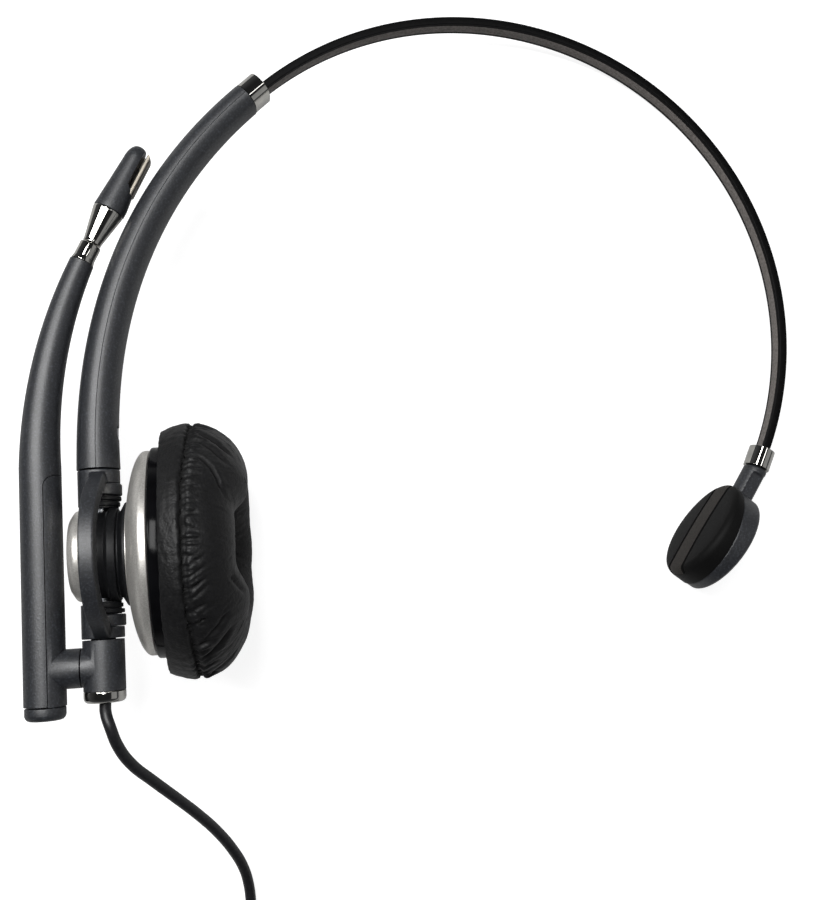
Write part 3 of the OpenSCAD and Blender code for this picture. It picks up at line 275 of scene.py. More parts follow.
def tidy(bm):
    bmesh.ops.remove_doubles(bm, verts=bm.verts, dist=1e-4)
    bmesh.ops.dissolve_degenerate(bm, edges=bm.edges, dist=1e-5)
    bmesh.ops.recalc_face_normals(bm, faces=bm.faces)
    return bm


def loft(rings, closed=False):
    bm = bmesh.new()
    rows = [[bm.verts.new(p) for p in ring] for ring in rings]
    count = len(rows[0])
    for j in range(len(rows) if closed else len(rows) - 1):
        one, two = rows[j], rows[(j + 1) % len(rows)]
        for i in range(count):
            k = (i + 1) % count
            bm.faces.new((one[i], one[k], two[k], two[i]))
    if not closed:
        bm.faces.new(rows[0])
        bm.faces.new(rows[-1])
    return tidy(bm)


# Turns a profile of (radius, height, corner radius) about the local y axis
def lathe(profile, steps=96, middle=0, span=360):
    points = roundCorners(profile)
    whole = span == 360
    count = steps if whole else max(4, round(steps * span / 360))
    rings = []
    for i in range(count if whole else count + 1):
        a = radians(middle - span / 2 + span * i / count)
        rings.append([(r * cos(a), h, r * sin(a)) for r, h in points])
    return loft(rings, whole)


# The corners of a rectangle, in the order of its radii, where it has any
def rectangle(left, right, low, high, radii=(0, 0, 0, 0)):
    places = [(left, low), (right, low), (right, high), (left, high)]
    return [(*place, radius) if radius else place for place, radius in zip(places, radii)]


def rod(radius, low, high, steps=96):
    return lathe(rectangle(0, radius, low, high), steps)


def prism(outline, low, high):
    return loft([[(x, level, z) for x, z in outline] for level in (low, high)])


def slab(outline, depth):
    return loft([[(x, y, z) for x, y in outline] for z in (-depth, depth)])


def block(low, high):
    return prism(rectangle(low[0], high[0], low[2], high[2]), low[1], high[1])


def stadium(width, depth, steps=16):
    r = width / 2
    outline = []
    for side in (1, -1):
        for k in range(steps + 1):
            a = pi * k / steps + (0 if side > 0 else pi)
            outline.append((r * cos(a), r * sin(a) + side * (depth / 2 - r)))
    return outline


def toObject(bm, name="work"):
    mesh = bpy.data.meshes.new(name)
    bm.to_mesh(mesh)
    bm.free()
    return link(bpy.data.objects.new(name, mesh))


# Gives back what a work object's modifiers make of it, and clears the work objects away
def evaluated(*works):
    shown = works[0].evaluated_get(bpy.context.evaluated_depsgraph_get())
    result = bpy.data.meshes.new_from_object(shown)
    bm = bmesh.new()
    bm.from_mesh(result)
    for mesh in [work.data for work in works] + [result]:
        bpy.data.meshes.remove(mesh)
    return bm


def combine(first, second, operation="DIFFERENCE"):
    pair = [toObject(first), toObject(second)]
    change = pair[0].modifiers.new("combine", "BOOLEAN")
    change.object, change.operation, change.solver = pair[1], operation, "EXACT"
    return tidy(evaluated(*pair))


# Draws a fresh even skin over a union, so that its inner corners get moulded fillets
def melt(bm, size=0.2, passes=3):
    work = toObject(bm)
    skin = work.modifiers.new("skin", "REMESH")
    skin.mode, skin.voxel_size = "VOXEL", size
    soft = work.modifiers.new("soft", "SMOOTH")
    soft.factor, soft.iterations = 0.5, passes
    return evaluated(work)


def gather(parts):
    whole = bmesh.new()
    for part in parts:
        work = toObject(part)
        whole.from_mesh(work.data)
        bpy.data.meshes.remove(work.data)
    return whole


def axisFrame(origin, way):
    y = Vector(way).normalized()
    x = y.cross(Vector((0, 0, 1))).normalized()
    turn = Matrix((x, y, x.cross(y))).transposed().to_4x4()
    return Matrix.Translation(origin) @ turn


# Adds a piece, which stands for the CAD node of the same name, written with underscores
def addPiece(name, bm, place, body, slotName, bevel=0.0, sharp=40, segments=3, coat=None):
    bm.transform(place)
    bmesh.ops.recalc_face_normals(bm, faces=bm.faces)
    obj = toObject(bm, name)
    obj.data.shade_smooth()
    obj.data.materials.append(finish[coat or slotName])
    if bevel:
        edge = obj.modifiers.new("edge", "BEVEL")
        edge.width, edge.segments = bevel * mm, segments
        edge.limit_method, edge.angle_limit = "ANGLE", radians(sharp)
        edge.harden_normals = True
    else:
        obj.data.set_sharp_from_angle(angle=radians(sharp))
    node = "".join("_" + letter.lower() if letter.isupper() else letter for letter in name)
    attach(obj, body)
    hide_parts(node)
    return obj


def startTree(name, fields):
    tree = bpy.data.node_groups.new(name, "GeometryNodeTree")
    for label, kind in fields.items():
        tree.interface.new_socket(label, in_out="INPUT", socket_type="NodeSocket" + kind)
    tree.interface.new_socket("Geometry", in_out="OUTPUT", socket_type="NodeSocketGeometry")
    return tree, addNode(tree, "NodeGroupInput")


def endTree(tree, shape, slotName):
    real = addNode(tree, "GeometryNodeRealizeInstances", {"Geometry": shape[0]})
    coated = addNode(tree, "GeometryNodeSetMaterial", {
        "Geometry": real[0], "Material": finish[slotName],
    })
    addNode(tree, "NodeGroupOutput", {"Geometry": coated[0]})


# Runs a node tree on a single point and gives back its plain mesh
def grow(tree, values):
    mesh = bpy.data.meshes.new("work")
    mesh.from_pydata([(0, 0, 0)], [], [])
    work = link(bpy.data.objects.new("work", mesh))
    change = work.modifiers.new("grow", "NODES")
    change.node_group = tree
    for item in tree.interface.items_tree:
        if item.in_out == "INPUT" and item.name in values:
            change[item.identifier] = values[item.name]
    work.update_tag()
    return evaluated(work)


earFrame = hub @ axisFrame((0, 0, 0), (1, 0, 0))


# Arm: two half shells with a parting line down the middle of the side that faces up
arm = {
    "seam": 19.35, "handle": 13, "topHandle": 50, "topAngle": 132.82, "lean": 1.9, "offset": 0.9,
    "footWidth": 9.7, "topWidth": 7.6, "topDepth": 9.6, "wall": 1, "part": 89.8, "rows": 66,
    "window": (9, 12), "windowAngle": 20, "windowSteps": 8, "sideSteps": 12,
}
band = {
    "centre": (90.30, 50.50), "radius": 77.3, "width": 4.8, "thickness": 1, "start": 129.3, "end": -26,
    "tuck": 17.4, "insert": 1.7, "tang": 6.67, "tangWidth": 2.6, "sleeve": 1.9, "lining": 3.3, "edge": 0.2,
}


def aim(angle, length=1):
    return length * Vector((cos(radians(angle)), sin(radians(angle))))


def onBand(angle, out=0.0):
    return Vector(band["centre"]) + aim(angle, band["radius"] + out)


armTop = onBand(arm["topAngle"], arm["offset"])
armLine = [
    Vector((0, arm["seam"])), Vector((0, arm["seam"] + arm["handle"])),
    armTop - aim(arm["topAngle"] - 90 - arm["lean"], arm["topHandle"]), armTop,
]


def armSkin(t, angle, inset):
    a, b, c, d = armLine
    s = 1 - t
    middle = s ** 3 * a + 3 * s * s * t * b + 3 * s * t * t * c + t ** 3 * d
    way = (s * s * (b - a) + 2 * s * t * (c - b) + t * t * (d - c)).normalized()
    wide = (s * arm["footWidth"] + t * arm["topWidth"]) / 2 - inset
    deep = (s * arm["footWidth"] + t * arm["topDepth"]) / 2 - inset
    out = wide * cos(radians(angle))
    return middle.x - way.y * out, middle.y + way.x * out, deep * sin(radians(angle))


def armShell(middle, openRows=()):
    part, window = arm["part"], arm["windowAngle"]
    side, across = arm["sideSteps"], arm["windowSteps"]
    angles = [-part + (part - window) * k / side for k in range(side)]
    angles += [-window + 2 * window * k / across for k in range(across + 1)]
    angles += [window + (part - window) * k / side for k in range(1, side + 1)]
    rows, columns = arm["rows"], len(angles) - 1

    def solid(j, i):
        return 0 <= j < rows and 0 <= i < columns and not (j in openRows and side <= i < side + across)

    bm = bmesh.new()
    skins = [
        [[bm.verts.new(armSkin(j / rows, middle + a, inset)) for a in angles] for j in range(rows + 1)]
        for inset in (0, arm["wall"])
    ]
    outer, inner = skins
    for j in range(rows):
        for i in range(columns):
            if not solid(j, i):
                continue
            corners = [(j, i), (j, i + 1), (j + 1, i + 1), (j + 1, i)]
            for skin in skins:
                bm.faces.new([skin[a][b] for a, b in corners])
            for k, beside in enumerate([(j - 1, i), (j, i + 1), (j + 1, i), (j, i - 1)]):
                if not solid(*beside):
                    (a, b), (c, d) = corners[k], corners[(k + 1) % 4]
                    bm.faces.new((outer[a][b], outer[c][d], inner[c][d], inner[a][b]))
    loose = [v for v in bm.verts if not v.link_faces]
    bmesh.ops.delete(bm, geom=loose, context="VERTS")
    return tidy(bm)


addPiece("armOuterShell", armShell(0), hub, "frame", "soft_touch_plastic", 0.08, 50)
addPiece("armInnerShell", armShell(180, range(*arm["window"])), hub, "frame", "soft_touch_plastic", 0.08, 50)

# Chrome ferrule between the arm and the band, with the slot that the strip slides in
armFerrule = {
    "angle": 131.0, "length": 4.6, "width": 6.9, "depth": 9.2, "neck": 1.5, "neckWidth": 4.8,
    "neckDepth": 6.8, "gap": 0.3, "slotReach": 9,
}
ferruleFrame = axisFrame(
    (*onBand(armFerrule["angle"], arm["offset"]), 0), (*aim(armFerrule["angle"] + 90), 0))
ferruleHalf = armFerrule["length"] / 2
ferrule = prism(stadium(armFerrule["width"], armFerrule["depth"]), -ferruleHalf, ferruleHalf)
neck = stadium(armFerrule["neckWidth"], armFerrule["neckDepth"])
ferrule = combine(ferrule, prism(neck, 0, ferruleHalf + armFerrule["neck"]), "UNION")
thin, wide = (band[size] / 2 + armFerrule["gap"] for size in ("thickness", "width"))
reach, middle = armFerrule["slotReach"], -arm["offset"]
ferrule = combine(ferrule, block((middle - thin, -reach, -wide), (middle + thin, reach, wide)))
addPiece("armFerrule", ferrule, hub @ ferruleFrame, "frame", "chrome", 0.45, 40, 4)
print("arm done")


# Head band: a rounded strip swept along its arc, as thin steel, a tang in the arm, a sleeve and a narrow
# strip on it that carries the painted reflection on its face towards the head
stripSizes = ("Radius", "Start", "Sweep", "Width", "Thickness", "Edge")
tree, field = startTree("strip", dict.fromkeys(stripSizes, "Float"))
arc = addNode(tree, "GeometryNodeCurveArc", {
    "Resolution": 220, "Radius": field["Radius"], "Start Angle": field["Start"],
    "Sweep Angle": field["Sweep"],
})
section = addNode(tree, "GeometryNodeCurvePrimitiveQuadrilateral", {
    "Width": field["Thickness"], "Height": field["Width"],
})
rounded = addNode(tree, "GeometryNodeFilletCurve", {
    "Curve": section[0], "Radius": field["Edge"], "Count": 3,
}, mode="POLY")
swept = addNode(tree, "GeometryNodeCurveToMesh", {
    "Curve": arc["Curve"], "Profile Curve": rounded[0], "Fill Caps": True,
})
endTree(tree, swept, "black_spring_steel")
tail = band["start"] + band["tuck"]
runs = [
    (band["end"] - band["insert"], tail - band["tang"], band["width"], band["thickness"]),
    (tail - band["tang"] - 0.4, tail, band["tangWidth"], band["thickness"]),
    (band["end"] + 0.1, band["start"] - 0.25, band["width"] + 0.1, band["sleeve"]),
    (band["end"] + 0.15, band["start"] - 0.3, band["lining"], band["sleeve"] + 0.06),
]
strip = tidy(gather([
    grow(tree, dict(zip(stripSizes, (
        band["radius"], radians(low), radians(high - low), width, thickness, band["edge"],
    )))) for low, high, width, thickness in runs
]))
# The narrow strip's face towards the head is marked for the painted reflection of the floor's light
paintedLightWithin = band["radius"] - band["sleeve"] / 2 - 0.01
paintedLightFaces = [1.0 if face.calc_center_median().length < paintedLightWithin else 0.0 for face in strip.faces]
bandPlace = hub @ Matrix.Translation((*band["centre"], 0))
headbandStrip = addPiece("headbandStrip", strip, bandPlace, "headband", "black_spring_steel")
headbandStrip.data.attributes.new("lining", "FLOAT", "FACE").data.foreach_set("value", paintedLightFaces)
print("band done")


# Yoke: a bow round the hub that flows into a collar above and below, with aprons over the knuckles
yoke = {
    "outer": 18.85, "inner": 16.3, "left": (-2.4, 0.4), "right": (0.75, 1.0), "draft": 0.7, "collar": 4.7,
    "base": 16.0, "top": 19.05, "foot": 18.45, "pin": 2.06, "bed": 1.05, "apronFoot": 10.9, "apronWall": 1.6,
    "apronAngle": 150, "spigot": 2.6, "spigotLength": 2.4, "overlap": 0.5, "steps": 144,
    "leftFlare": (60, 44), "rightFlare": (12, 55),
}
rings = []
for k in range(yoke["steps"]):
    turn = 2 * pi * k / yoke["steps"]
    tilt = abs(90 - degrees(turn) % 180)
    most, flareSpan = yoke["leftFlare"]
    left = yoke["left"][0] + yoke["left"][1] * (min(tilt, most) / flareSpan) ** 3
    first, flareSpan = yoke["rightFlare"]
    swing = min(1, max(0, (tilt - first) / flareSpan))
    right = yoke["right"][0] + yoke["right"][1] * swing * swing * (3 - 2 * swing)
    outline = roundCorners([
        (left, yoke["inner"], 0.5), (right + yoke["draft"], yoke["inner"], 0.5),
        (right, yoke["outer"], 0.35), (left, yoke["outer"], 0.35),
    ])
    rings.append([(x, r * cos(turn), r * sin(turn)) for x, r in outline])
bow = loft(rings, True)
apronInner, apronTop = yoke["collar"] - yoke["apronWall"], yoke["base"] + yoke["overlap"]
for side, top in ((1, yoke["top"]), (-1, yoke["foot"])):
    collar = rod(yoke["collar"], yoke["base"], top)
    apron = rectangle(apronInner, yoke["collar"], yoke["apronFoot"], apronTop)
    apron = lathe(apron, 96, 180, yoke["apronAngle"])
    spigot = rod(yoke["spigot"], top - yoke["overlap"], top + yoke["spigotLength"])
    for shape in (collar, apron, spigot):
        if side < 0:
            shape.transform(Matrix.Scale(-1, 4, (0, 1, 0)))
            bmesh.ops.reverse_faces(shape, faces=shape.faces)
        bow = combine(bow, shape, "UNION")
bow = combine(bow, rod(yoke["pin"], -yoke["foot"] + yoke["bed"], yoke["top"] - yoke["bed"], 48))
addPiece("yoke", melt(bow), hub, "frame", "soft_touch_plastic", 0, 60)

# Bushes under the collars and the ribbed knuckles on the hub, seen between the bow and the dish
bush = {"foot": 13.25, "top": 15.9, "outer": 5.05, "angle": 200, "bore": 2.06}
knuckle = {
    "foot": 10.8, "pitch": 1.25, "rib": 0.95, "outer": (4.55, 4.85), "core": 4.2, "angle": 176, "bore": 2.04,
}
bushProfile = rectangle(bush["bore"], bush["outer"], bush["foot"], bush["top"], (0, 0.3, 0.4, 0))
core = knuckle["core"]
knuckleFoot = knuckle["foot"] - 0.4
knuckleTop = knuckle["foot"] + 2 * knuckle["pitch"] - 0.1
ribs = [(knuckle["bore"], knuckleFoot), (core, knuckleFoot)]
for i, radius in enumerate(knuckle["outer"]):
    low = knuckle["foot"] + i * knuckle["pitch"]
    high = low + knuckle["rib"]
    ribs += [(core, low), (radius, low, 0.25), (radius, high, 0.25), (core, high)]
ribs += [(core, knuckleTop), (knuckle["bore"], knuckleTop)]
for side, name in ((1, "upper"), (-1, "lower")):
    flip = hub @ Matrix.Scale(side, 4, (0, 1, 0))
    bushMesh = lathe(bushProfile, 96, 0, bush["angle"])
    addPiece(name + "Bush", bushMesh, flip, "frame", "soft_touch_plastic", 0.25, 50)
    knuckleMesh = lathe(ribs, 96, 0, knuckle["angle"])
    addPiece(name + "Knuckle", knuckleMesh, flip, "earcup", "black_plastic")
print("yoke done")


# Ear cup: cap, hub, dish and gloss ring, all turned about the ear cup's axis
dish = {
    "back": 6.4, "rim": 11.95, "radius": 23, "dome": 5, "middle": 10.8, "wall": 1.2, "flat": 28.36,
    "steps": 28,
}
dome = []
for i in range(3, dish["steps"] + 1):
    a = radians(dish["flat"] + (90 - dish["flat"]) * i / dish["steps"])
    dome.append((dish["radius"] * sin(a), dish["middle"] - dish["dome"] * cos(a)))
dishProfile = [(0, dish["back"]), (12.05, dish["back"], 0.12), (12.05, 6.72, 0.08), (11.75, 6.86)] + dome
dishProfile += [(dish["radius"], dish["rim"], 0.3), (dish["radius"] - 0.9, dish["rim"])]
dishProfile += [(r - dish["wall"] * r / dish["radius"], h + 0.9) for r, h in reversed(dome)]
dishProfile += [(0, dish["back"] + 1.3)]
cup = [
    ("hubCap", "silver_paint", 128, 40, [
        (0, -6.5), (4.5, -6.46), (8.2, -6.3, 1.5), (10.2, -5.0, 1.7), (10.2, -3.55, 0.2), (9.6, -3.55),
        (0, -3.55),
    ]),
    ("hubBody", "black_plastic", 128, 40, [
        (0, -3.48), (9.8, -3.48, 0.2), (9.8, 1.7, 0.6), (10.7, 2.4, 0.35), (10.5, 4.1, 0.3), (9.7, 4.3, 0.2),
        (9.7, 4.7, 0.6), (11.6, 5.8, 0.2), (11.6, 6.36, 0.1), (0, 6.36),
    ]),
    ("speakerDish", "silver_paint", 160, 30, dishProfile),
    ("speakerBaffle", "gloss_black", 160, 40, [
        (16.1, 11.05), (21.7, 11.05), (21.7, 12.06), (23.7, 12.06, 0.5), (23.7, 15.15, 0.7), (17.1, 15.15),
        (17.1, 14.05), (16.1, 14.05),
    ]),
]
for name, slotName, steps, sharp, profile in cup:
    addPiece(name, lathe(profile, steps), earFrame, "earcup", slotName, 0, sharp)
print("ear cup done")


# Tee under the yoke, with the stub that carries the boom, its chrome ferrule and the cord's grommet
tee = {
    "radius": 4.6, "top": -18.75, "foot": -29.8, "pivot": -24.6, "stub": 4.35, "ferrule": -32.4,
    "grommet": 2.26, "cord": 1.34, "spigotHole": 2.7, "pinHole": 1.36,
}
stubFrame = axisFrame((0, tee["pivot"], 0), (-1, 0, 0))
stub = rod(tee["stub"], 0, tee["radius"])
stub.transform(stubFrame)
pinHole = rod(tee["pinHole"], -1, 6, 48)
pinHole.transform(stubFrame)
teeBody = combine(rod(tee["radius"], tee["foot"], tee["top"]), stub, "UNION")
teeBody = combine(teeBody, rod(tee["spigotHole"], tee["top"] - tee["spigotHole"], tee["top"] + 1, 48))
teeBody = combine(teeBody, pinHole)
addPiece("teeBody", teeBody, hub, "frame", "soft_touch_plastic", 0.22, 35)
rim = rectangle(tee["grommet"], tee["radius"], tee["foot"] - 0.02, tee["ferrule"], (0, 0.25, 1.2, 0.2))
addPiece("teeFerrule", lathe(rim), hub, "frame", "chrome")
sleeve = rectangle(
    tee["cord"], tee["grommet"] - 0.03, tee["foot"] + 2, tee["ferrule"] - 0.05, (0, 0, 0.3, 0.2))
addPiece("cordGrommet", lathe(sleeve, 64), hub, "frame", "black_plastic")
print("tee done")


# Boom: a tube that bends to its tip, and the carriage that it slides along, parted by a fine seam
boom = {
    "x": -12.8, "radius": 4.6, "foot": -32.4, "bend": 20.4, "bendRadius": 115, "angle": 24.5, "tip": 2.8,
    "seam": 1.3, "top": 18.2, "corner": 2.6, "gap": 0.15, "stubEnd": -4.9, "capFoot": -35.4, "steps": 40,
}


def onBoom(angle):
    turn = radians(angle)
    out = boom["bendRadius"] * (1 - cos(turn))
    return boom["x"] + out, boom["bend"] + boom["bendRadius"] * sin(turn)


def boomSection(at, radius, angle=0, sides=72):
    turn = radians(angle)
    ring = []
    for k in range(sides):
        a = 2 * pi * k / sides
        wide = radius * cos(a)
        ring.append((at[0] + wide * cos(turn), at[1] - wide * sin(turn), radius * sin(a)))
    return ring


def carriageSpace(gap):
    low = boom["top"] - boom["corner"]
    middle = boom["seam"] + boom["corner"]
    radius = boom["corner"] + gap
    top = boom["top"] + gap
    outline = [(boom["seam"] - gap, -60), (12, -60), (12, top), (middle, top)]
    for a in np.linspace(0, pi / 2, 13)[1:]:
        outline.append((middle - radius * sin(a), low + radius * cos(a)))
    return slab([(boom["x"] + x, y) for x, y in outline], 8)


def straightRings(levels):
    return [boomSection((boom["x"], level), boom["radius"]) for level in levels]


rings = straightRings((boom["foot"] + boom["gap"], -16, 0, 14, boom["bend"]))
for k in range(1, boom["steps"] + 1):
    angle = boom["angle"] * k / boom["steps"]
    radius = boom["radius"] + (boom["tip"] - boom["radius"]) * k / boom["steps"]
    rings.append(boomSection(onBoom(angle), radius, angle))
tube = combine(loft(rings), carriageSpace(boom["gap"]))
addPiece("boomTube", tube, hub, "boom", "soft_touch_plastic", 0.18)
carriage = loft(straightRings((boom["foot"], -16, 0, 10, boom["top"])))
carriage = combine(carriage, carriageSpace(0), "INTERSECT")
stub = rod(tee["stub"], 0, boom["stubEnd"] - boom["x"] - boom["seam"])
stub.transform(axisFrame((boom["x"] + boom["seam"], tee["pivot"], 0), (1, 0, 0)))
carriage = combine(carriage, stub, "UNION")
addPiece("boomCarriage", carriage, hub, "carriage", "soft_touch_plastic", 0.2, 35)
endCap = rectangle(
    0, boom["radius"] - boom["gap"], boom["foot"] - boom["gap"], boom["capFoot"], (0, 0.25, 1.6, 0))
endCapPlace = hub @ Matrix.Translation((boom["x"], 0, 0))
addPiece("boomEndCap", lathe(endCap), endCapPlace, "carriage", "soft_touch_plastic")
print("boom done")


# Microphone: chrome ring and cone, and a bullet housing with a chrome sound port let into its inner side
mic = {
    "turn": 27.4, "end": 31.2, "noseRadius": 2.6, "noseLength": 4, "blunt": 0.25,
    "chin": 0.13, "chinAt": 17.3, "chinSpread": 3,
    "ring": [(1.1, 0.1), (2.72, 0.1, 0.2), (2.47, 1.3, 1), (2.45, 4.7, 0.25), (1.1, 4.7)],
    "cone": [
        (0, 1.4), (1, 1.4), (1, 5), (2.15, 5, 0.2), (2.15, 5.7, 0.8), (3.6, 13.4, 0.4), (3.6, 13.8, 0.15),
        (0, 13.8),
    ],
    "bullet": [(0, 13.84), (3.65, 13.84, 0.2), (3.5, 15.6, 6)],
    "recess": [(1.7, 21.4), (4.4, 18), (6, 18), (6, 33.2), (1.5, 33.2)],
    "lid": [(2.5, 20.1), (3.55, 18.8), (3.55, 28.6), (3.1, 29.8), (2.5, 30.2)], "lidCorner": 0.35,
    "lidSection": (2.5, 3.55, -1.7, 1.7), "lidRadii": (0.2, 0.75, 0.75, 0.2),
    "tongue": [(1.6, 21.8, -1.5), (2.8, 29.6, -0.6)], "slit": [(3.1, 21.4, -0.3), (6, 27.4, 0.3)],
}
micFrame = hub @ Matrix.Translation((*onBoom(boom["angle"]), 0))
micFrame = micFrame @ Matrix.Rotation(-radians(mic["turn"]), 4, "Z")
addPiece("boomRing", lathe(mic["ring"], 72), micFrame, "boom", "chrome")
addPiece("micCone", lathe(mic["cone"]), micFrame, "mic", "chrome")
nose, blunt, end = mic["noseRadius"], mic["blunt"], mic["end"]
bullet = list(mic["bullet"])
for step in range(0, 90, 5):
    a = radians(step)
    bullet.append((nose * (cos(a) * (1 - blunt) + blunt), end - mic["noseLength"] * (1 - sin(a))))
housing = lathe(bullet + [(nose * blunt, end, 0.6), (0, end)])
for vert in housing.verts:
    if vert.co.x > 0:
        vert.co.x *= 1 + mic["chin"] * exp(-((vert.co.y - mic["chinAt"]) / mic["chinSpread"]) ** 2)
housing = combine(housing, slab(mic["recess"], 6))
addPiece("micHousing", housing, micFrame, "mic", "soft_touch_plastic", 0.22, 35)
port = slab(roundCorners([(*corner, mic["lidCorner"]) for corner in mic["lid"]]), 3)
section = roundCorners(rectangle(*mic["lidSection"], mic["lidRadii"]), 8)
port = combine(port, prism(section, 10, 40), "INTERSECT")
port = combine(port, block(*mic["tongue"]), "UNION")
port = combine(port, block(*mic["slit"]))
addPiece("micPort", port, micFrame, "mic", "chrome", 0.1, 40, 2, "satin_chrome")
print("microphone done")


# Temple pad: chrome ferrule, a hard shell on a stem, a soft face and its grip rib
pad = {
    "ferrule": 4.9, "width": 6.2, "depth": 6.4, "turn": 6, "lean": 9, "discLean": 2.5, "drop": 21.1,
    "oval": 1.065, "stem": 2.75, "stemTop": -0.9, "radius": 12.2, "shell": 12.0, "split": -1.9,
    "taper": -0.12, "rim": 1.6, "back": 4.3, "face": -6.2, "edge": -5.75, "edgeRadius": 1.7, "channel": -4.2,
    "ribWidth": 5.4, "groove": 0.95, "spigot": 1.5, "spigotHole": 1.56,
    "bandSlot": [(-0.55, -2.5, -2.46), (0.55, 1, 2.46)], "stemFlat": [(-1.2, -10.5, 2.2), (1.6, -1.9, 4)],
}


# Leans the plane between the shell and the soft face, which is thinner at its top
def leanSplit(bm, fixed, moved):
    for vert in bm.verts:
        share = max(0, (vert.co.x - fixed) / (moved - fixed))
        vert.co.x += pad["taper"] * vert.co.y * share


padLean = Matrix.Rotation(-radians(pad["lean"]), 4, "Z")
discTurn = padLean @ Matrix.Translation((0, -pad["drop"], 0))
discTurn = discTurn @ Matrix.Rotation(-radians(pad["discLean"]), 4, "Z")
across = Matrix.Scale(pad["oval"], 4, (0, 1, 0)) @ axisFrame((0, 0, 0), (1, 0, 0))
bandEnd = hub @ Matrix.Translation((*onBand(band["end"]), 0))
bandEnd = bandEnd @ Matrix.Rotation(radians(band["end"]), 4, "Z")
padFrame = bandEnd @ Matrix.Translation((0, -pad["ferrule"], 0))
padFrame = padFrame @ Matrix.Rotation(radians(pad["turn"]), 4, "Y")
padDisc = padFrame @ discTurn
holder = prism(stadium(pad["width"], pad["depth"]), -pad["ferrule"], 0)
holder = combine(holder, block(*pad["bandSlot"]))
holder = combine(holder, rod(pad["spigotHole"], -6, -2.6, 48))
addPiece("padFerrule", holder, bandEnd, "headband", "chrome", 0.4, 40, 4)
disc = [(0, pad["split"]), (pad["shell"], pad["split"]), (pad["shell"], pad["rim"])]
for step in range(6, 91, 6):
    a = radians(step)
    disc.append((pad["shell"] * cos(a), pad["rim"] + (pad["back"] - pad["rim"]) * sin(a)))
shell = lathe(disc, 128)
shell.transform(across)
leanSplit(shell, pad["rim"], pad["split"])
shell.transform(discTurn)
stem = rod(pad["stem"], pad["radius"] - 6 - pad["drop"], pad["stemTop"], 72)
stem = combine(stem, block(*pad["stemFlat"]))
stem.transform(padLean)
collar = rod(pad["stem"], -1.4, -0.3, 72)
spigot = rod(pad["spigot"], -0.8, 2, 48)
for shape in (stem, collar, spigot):
    shell = combine(shell, shape, "UNION")
addPiece("padShell", melt(shell), padFrame, "temple_pad", "soft_touch_plastic", 0, 60)
foot, half = pad["split"] - 0.06, pad["ribWidth"] / 2
channel = half + pad["groove"]
crown = []
for k in range(9, -1, -1):
    crown.append((pad["radius"] * k / 12, pad["face"] + (pad["edge"] - pad["face"]) * (k / 12) ** 2))


def padBody(radius, corner):
    body = lathe([(0, foot), (radius, foot, corner), (radius, pad["edge"], pad["edgeRadius"])] + crown, 128)
    body.transform(across)
    leanSplit(body, pad["edge"], foot)
    return body


channelSpace = block((pad["face"] - 2, -14, -channel), (pad["channel"], 14, channel))
face = combine(padBody(pad["radius"], 0.2), channelSpace)
addPiece("padCushion", face, padDisc, "temple_pad", "pad_rubber", 0.4)
ribSpace = block((pad["face"] - 2, -14, -half), (pad["channel"] - 0.02, 14, half))
rib = combine(padBody(pad["radius"] - 0.1, 0), ribSpace, "INTERSECT")
# The rib's top gets the lighter copy as painted light; its side walls keep the darker rubber, as painted
# shade in the grooves
for side in rib.faces:
    side.material_index = int(abs(side.normal.z) > 0.7)
padRib = addPiece("padRib", rib, padDisc, "temple_pad", "pad_rubber", 0.3, coat="painted_lit_rib_rubber")
padRib.data.materials.append(finish["pad_rubber"])
print("temple pad done")


# Cord: down from the tee to the table, and into a tied coil below the picture, with its plug beside it
cord = {
    "diameter": 2.6, "length": 1.21, "start": (0, -32.4, 0), "second": (0, -34.6, 0), "centre": (-32.3, -160),
    "columns": (18.3, 15.6, 12.9, 10.2), "layers": (1.95, 4.6, 7.25), "points": 14, "shift": 0.32,
    "route": [
        (-72.9, -84, 35), (-71.8, -88.5, 33.4), (-69.8, -93, 30.7), (-66, -98.2, 26.2), (-62, -103.4, 21.5),
        (-58, -108.7, 16.9), (-54.5, -114.1, 12.5), (-51.6, -119.8, 8.6), (-49.8, -124.7, 5.9),
        (-49, -129, 4.2), (-48.8, -135, 2.7), (-49.4, -143, 2.05), (-50.3, -151, 1.95),
    ],
    "climb": [(180, 10.2, 7.25), (204, 10.4, 8.2), (226, 11.4, 9.6), (248, 13.1, 10.0)],
    "lead": [
        (-32.3, -174.3, 10.0), (-26, -174.3, 10.0), (-20, -174.3, 9.85), (-15.8, -174.3, 8.5),
        (-12, -174.3, 5.6), (-8.4, -174.3, 3.9),
    ],
    "plug": (-5.3, -174.3, 3.5),
}


def onCoil(angle, radius, level):
    return Vector((*(Vector(cord["centre"]) + aim(angle, radius)), level))


path = [(hub @ Vector(point)) / mm for point in (cord["start"], cord["second"])]
path += [Vector(point) for point in cord["route"]]
wound = []
for layer, level in enumerate(cord["layers"]):
    wound += [(radius, level) for radius in cord["columns"][::1 if layer % 2 == 0 else -1]]
for number, (radius, level) in enumerate(wound):
    nextRadius, nextLevel = wound[min(number + 1, len(wound) - 1)]
    for k in range(cord["points"]):
        share = k / cord["points"]
        move = max(0, (share - 1 + cord["shift"]) / cord["shift"])
        move = move * move * (3 - 2 * move)
        reach = radius + (nextRadius - radius) * move
        path.append(onCoil(180 + 360 * share, reach, level + (nextLevel - level) * move))
path += [onCoil(*point) for point in cord["climb"]]
path += [Vector(point) for point in cord["lead"] + [cord["plug"]]]
curve = bpy.data.curves.new("headsetCord", "CURVE")
curve.dimensions = "3D"
curve.resolution_u = 6
curve.bevel_depth = cord["diameter"] / 2 * mm
curve.bevel_resolution = 6
curve.use_fill_caps = True
spline = curve.splines.new("BEZIER")
spline.bezier_points.add(len(path) - 1)
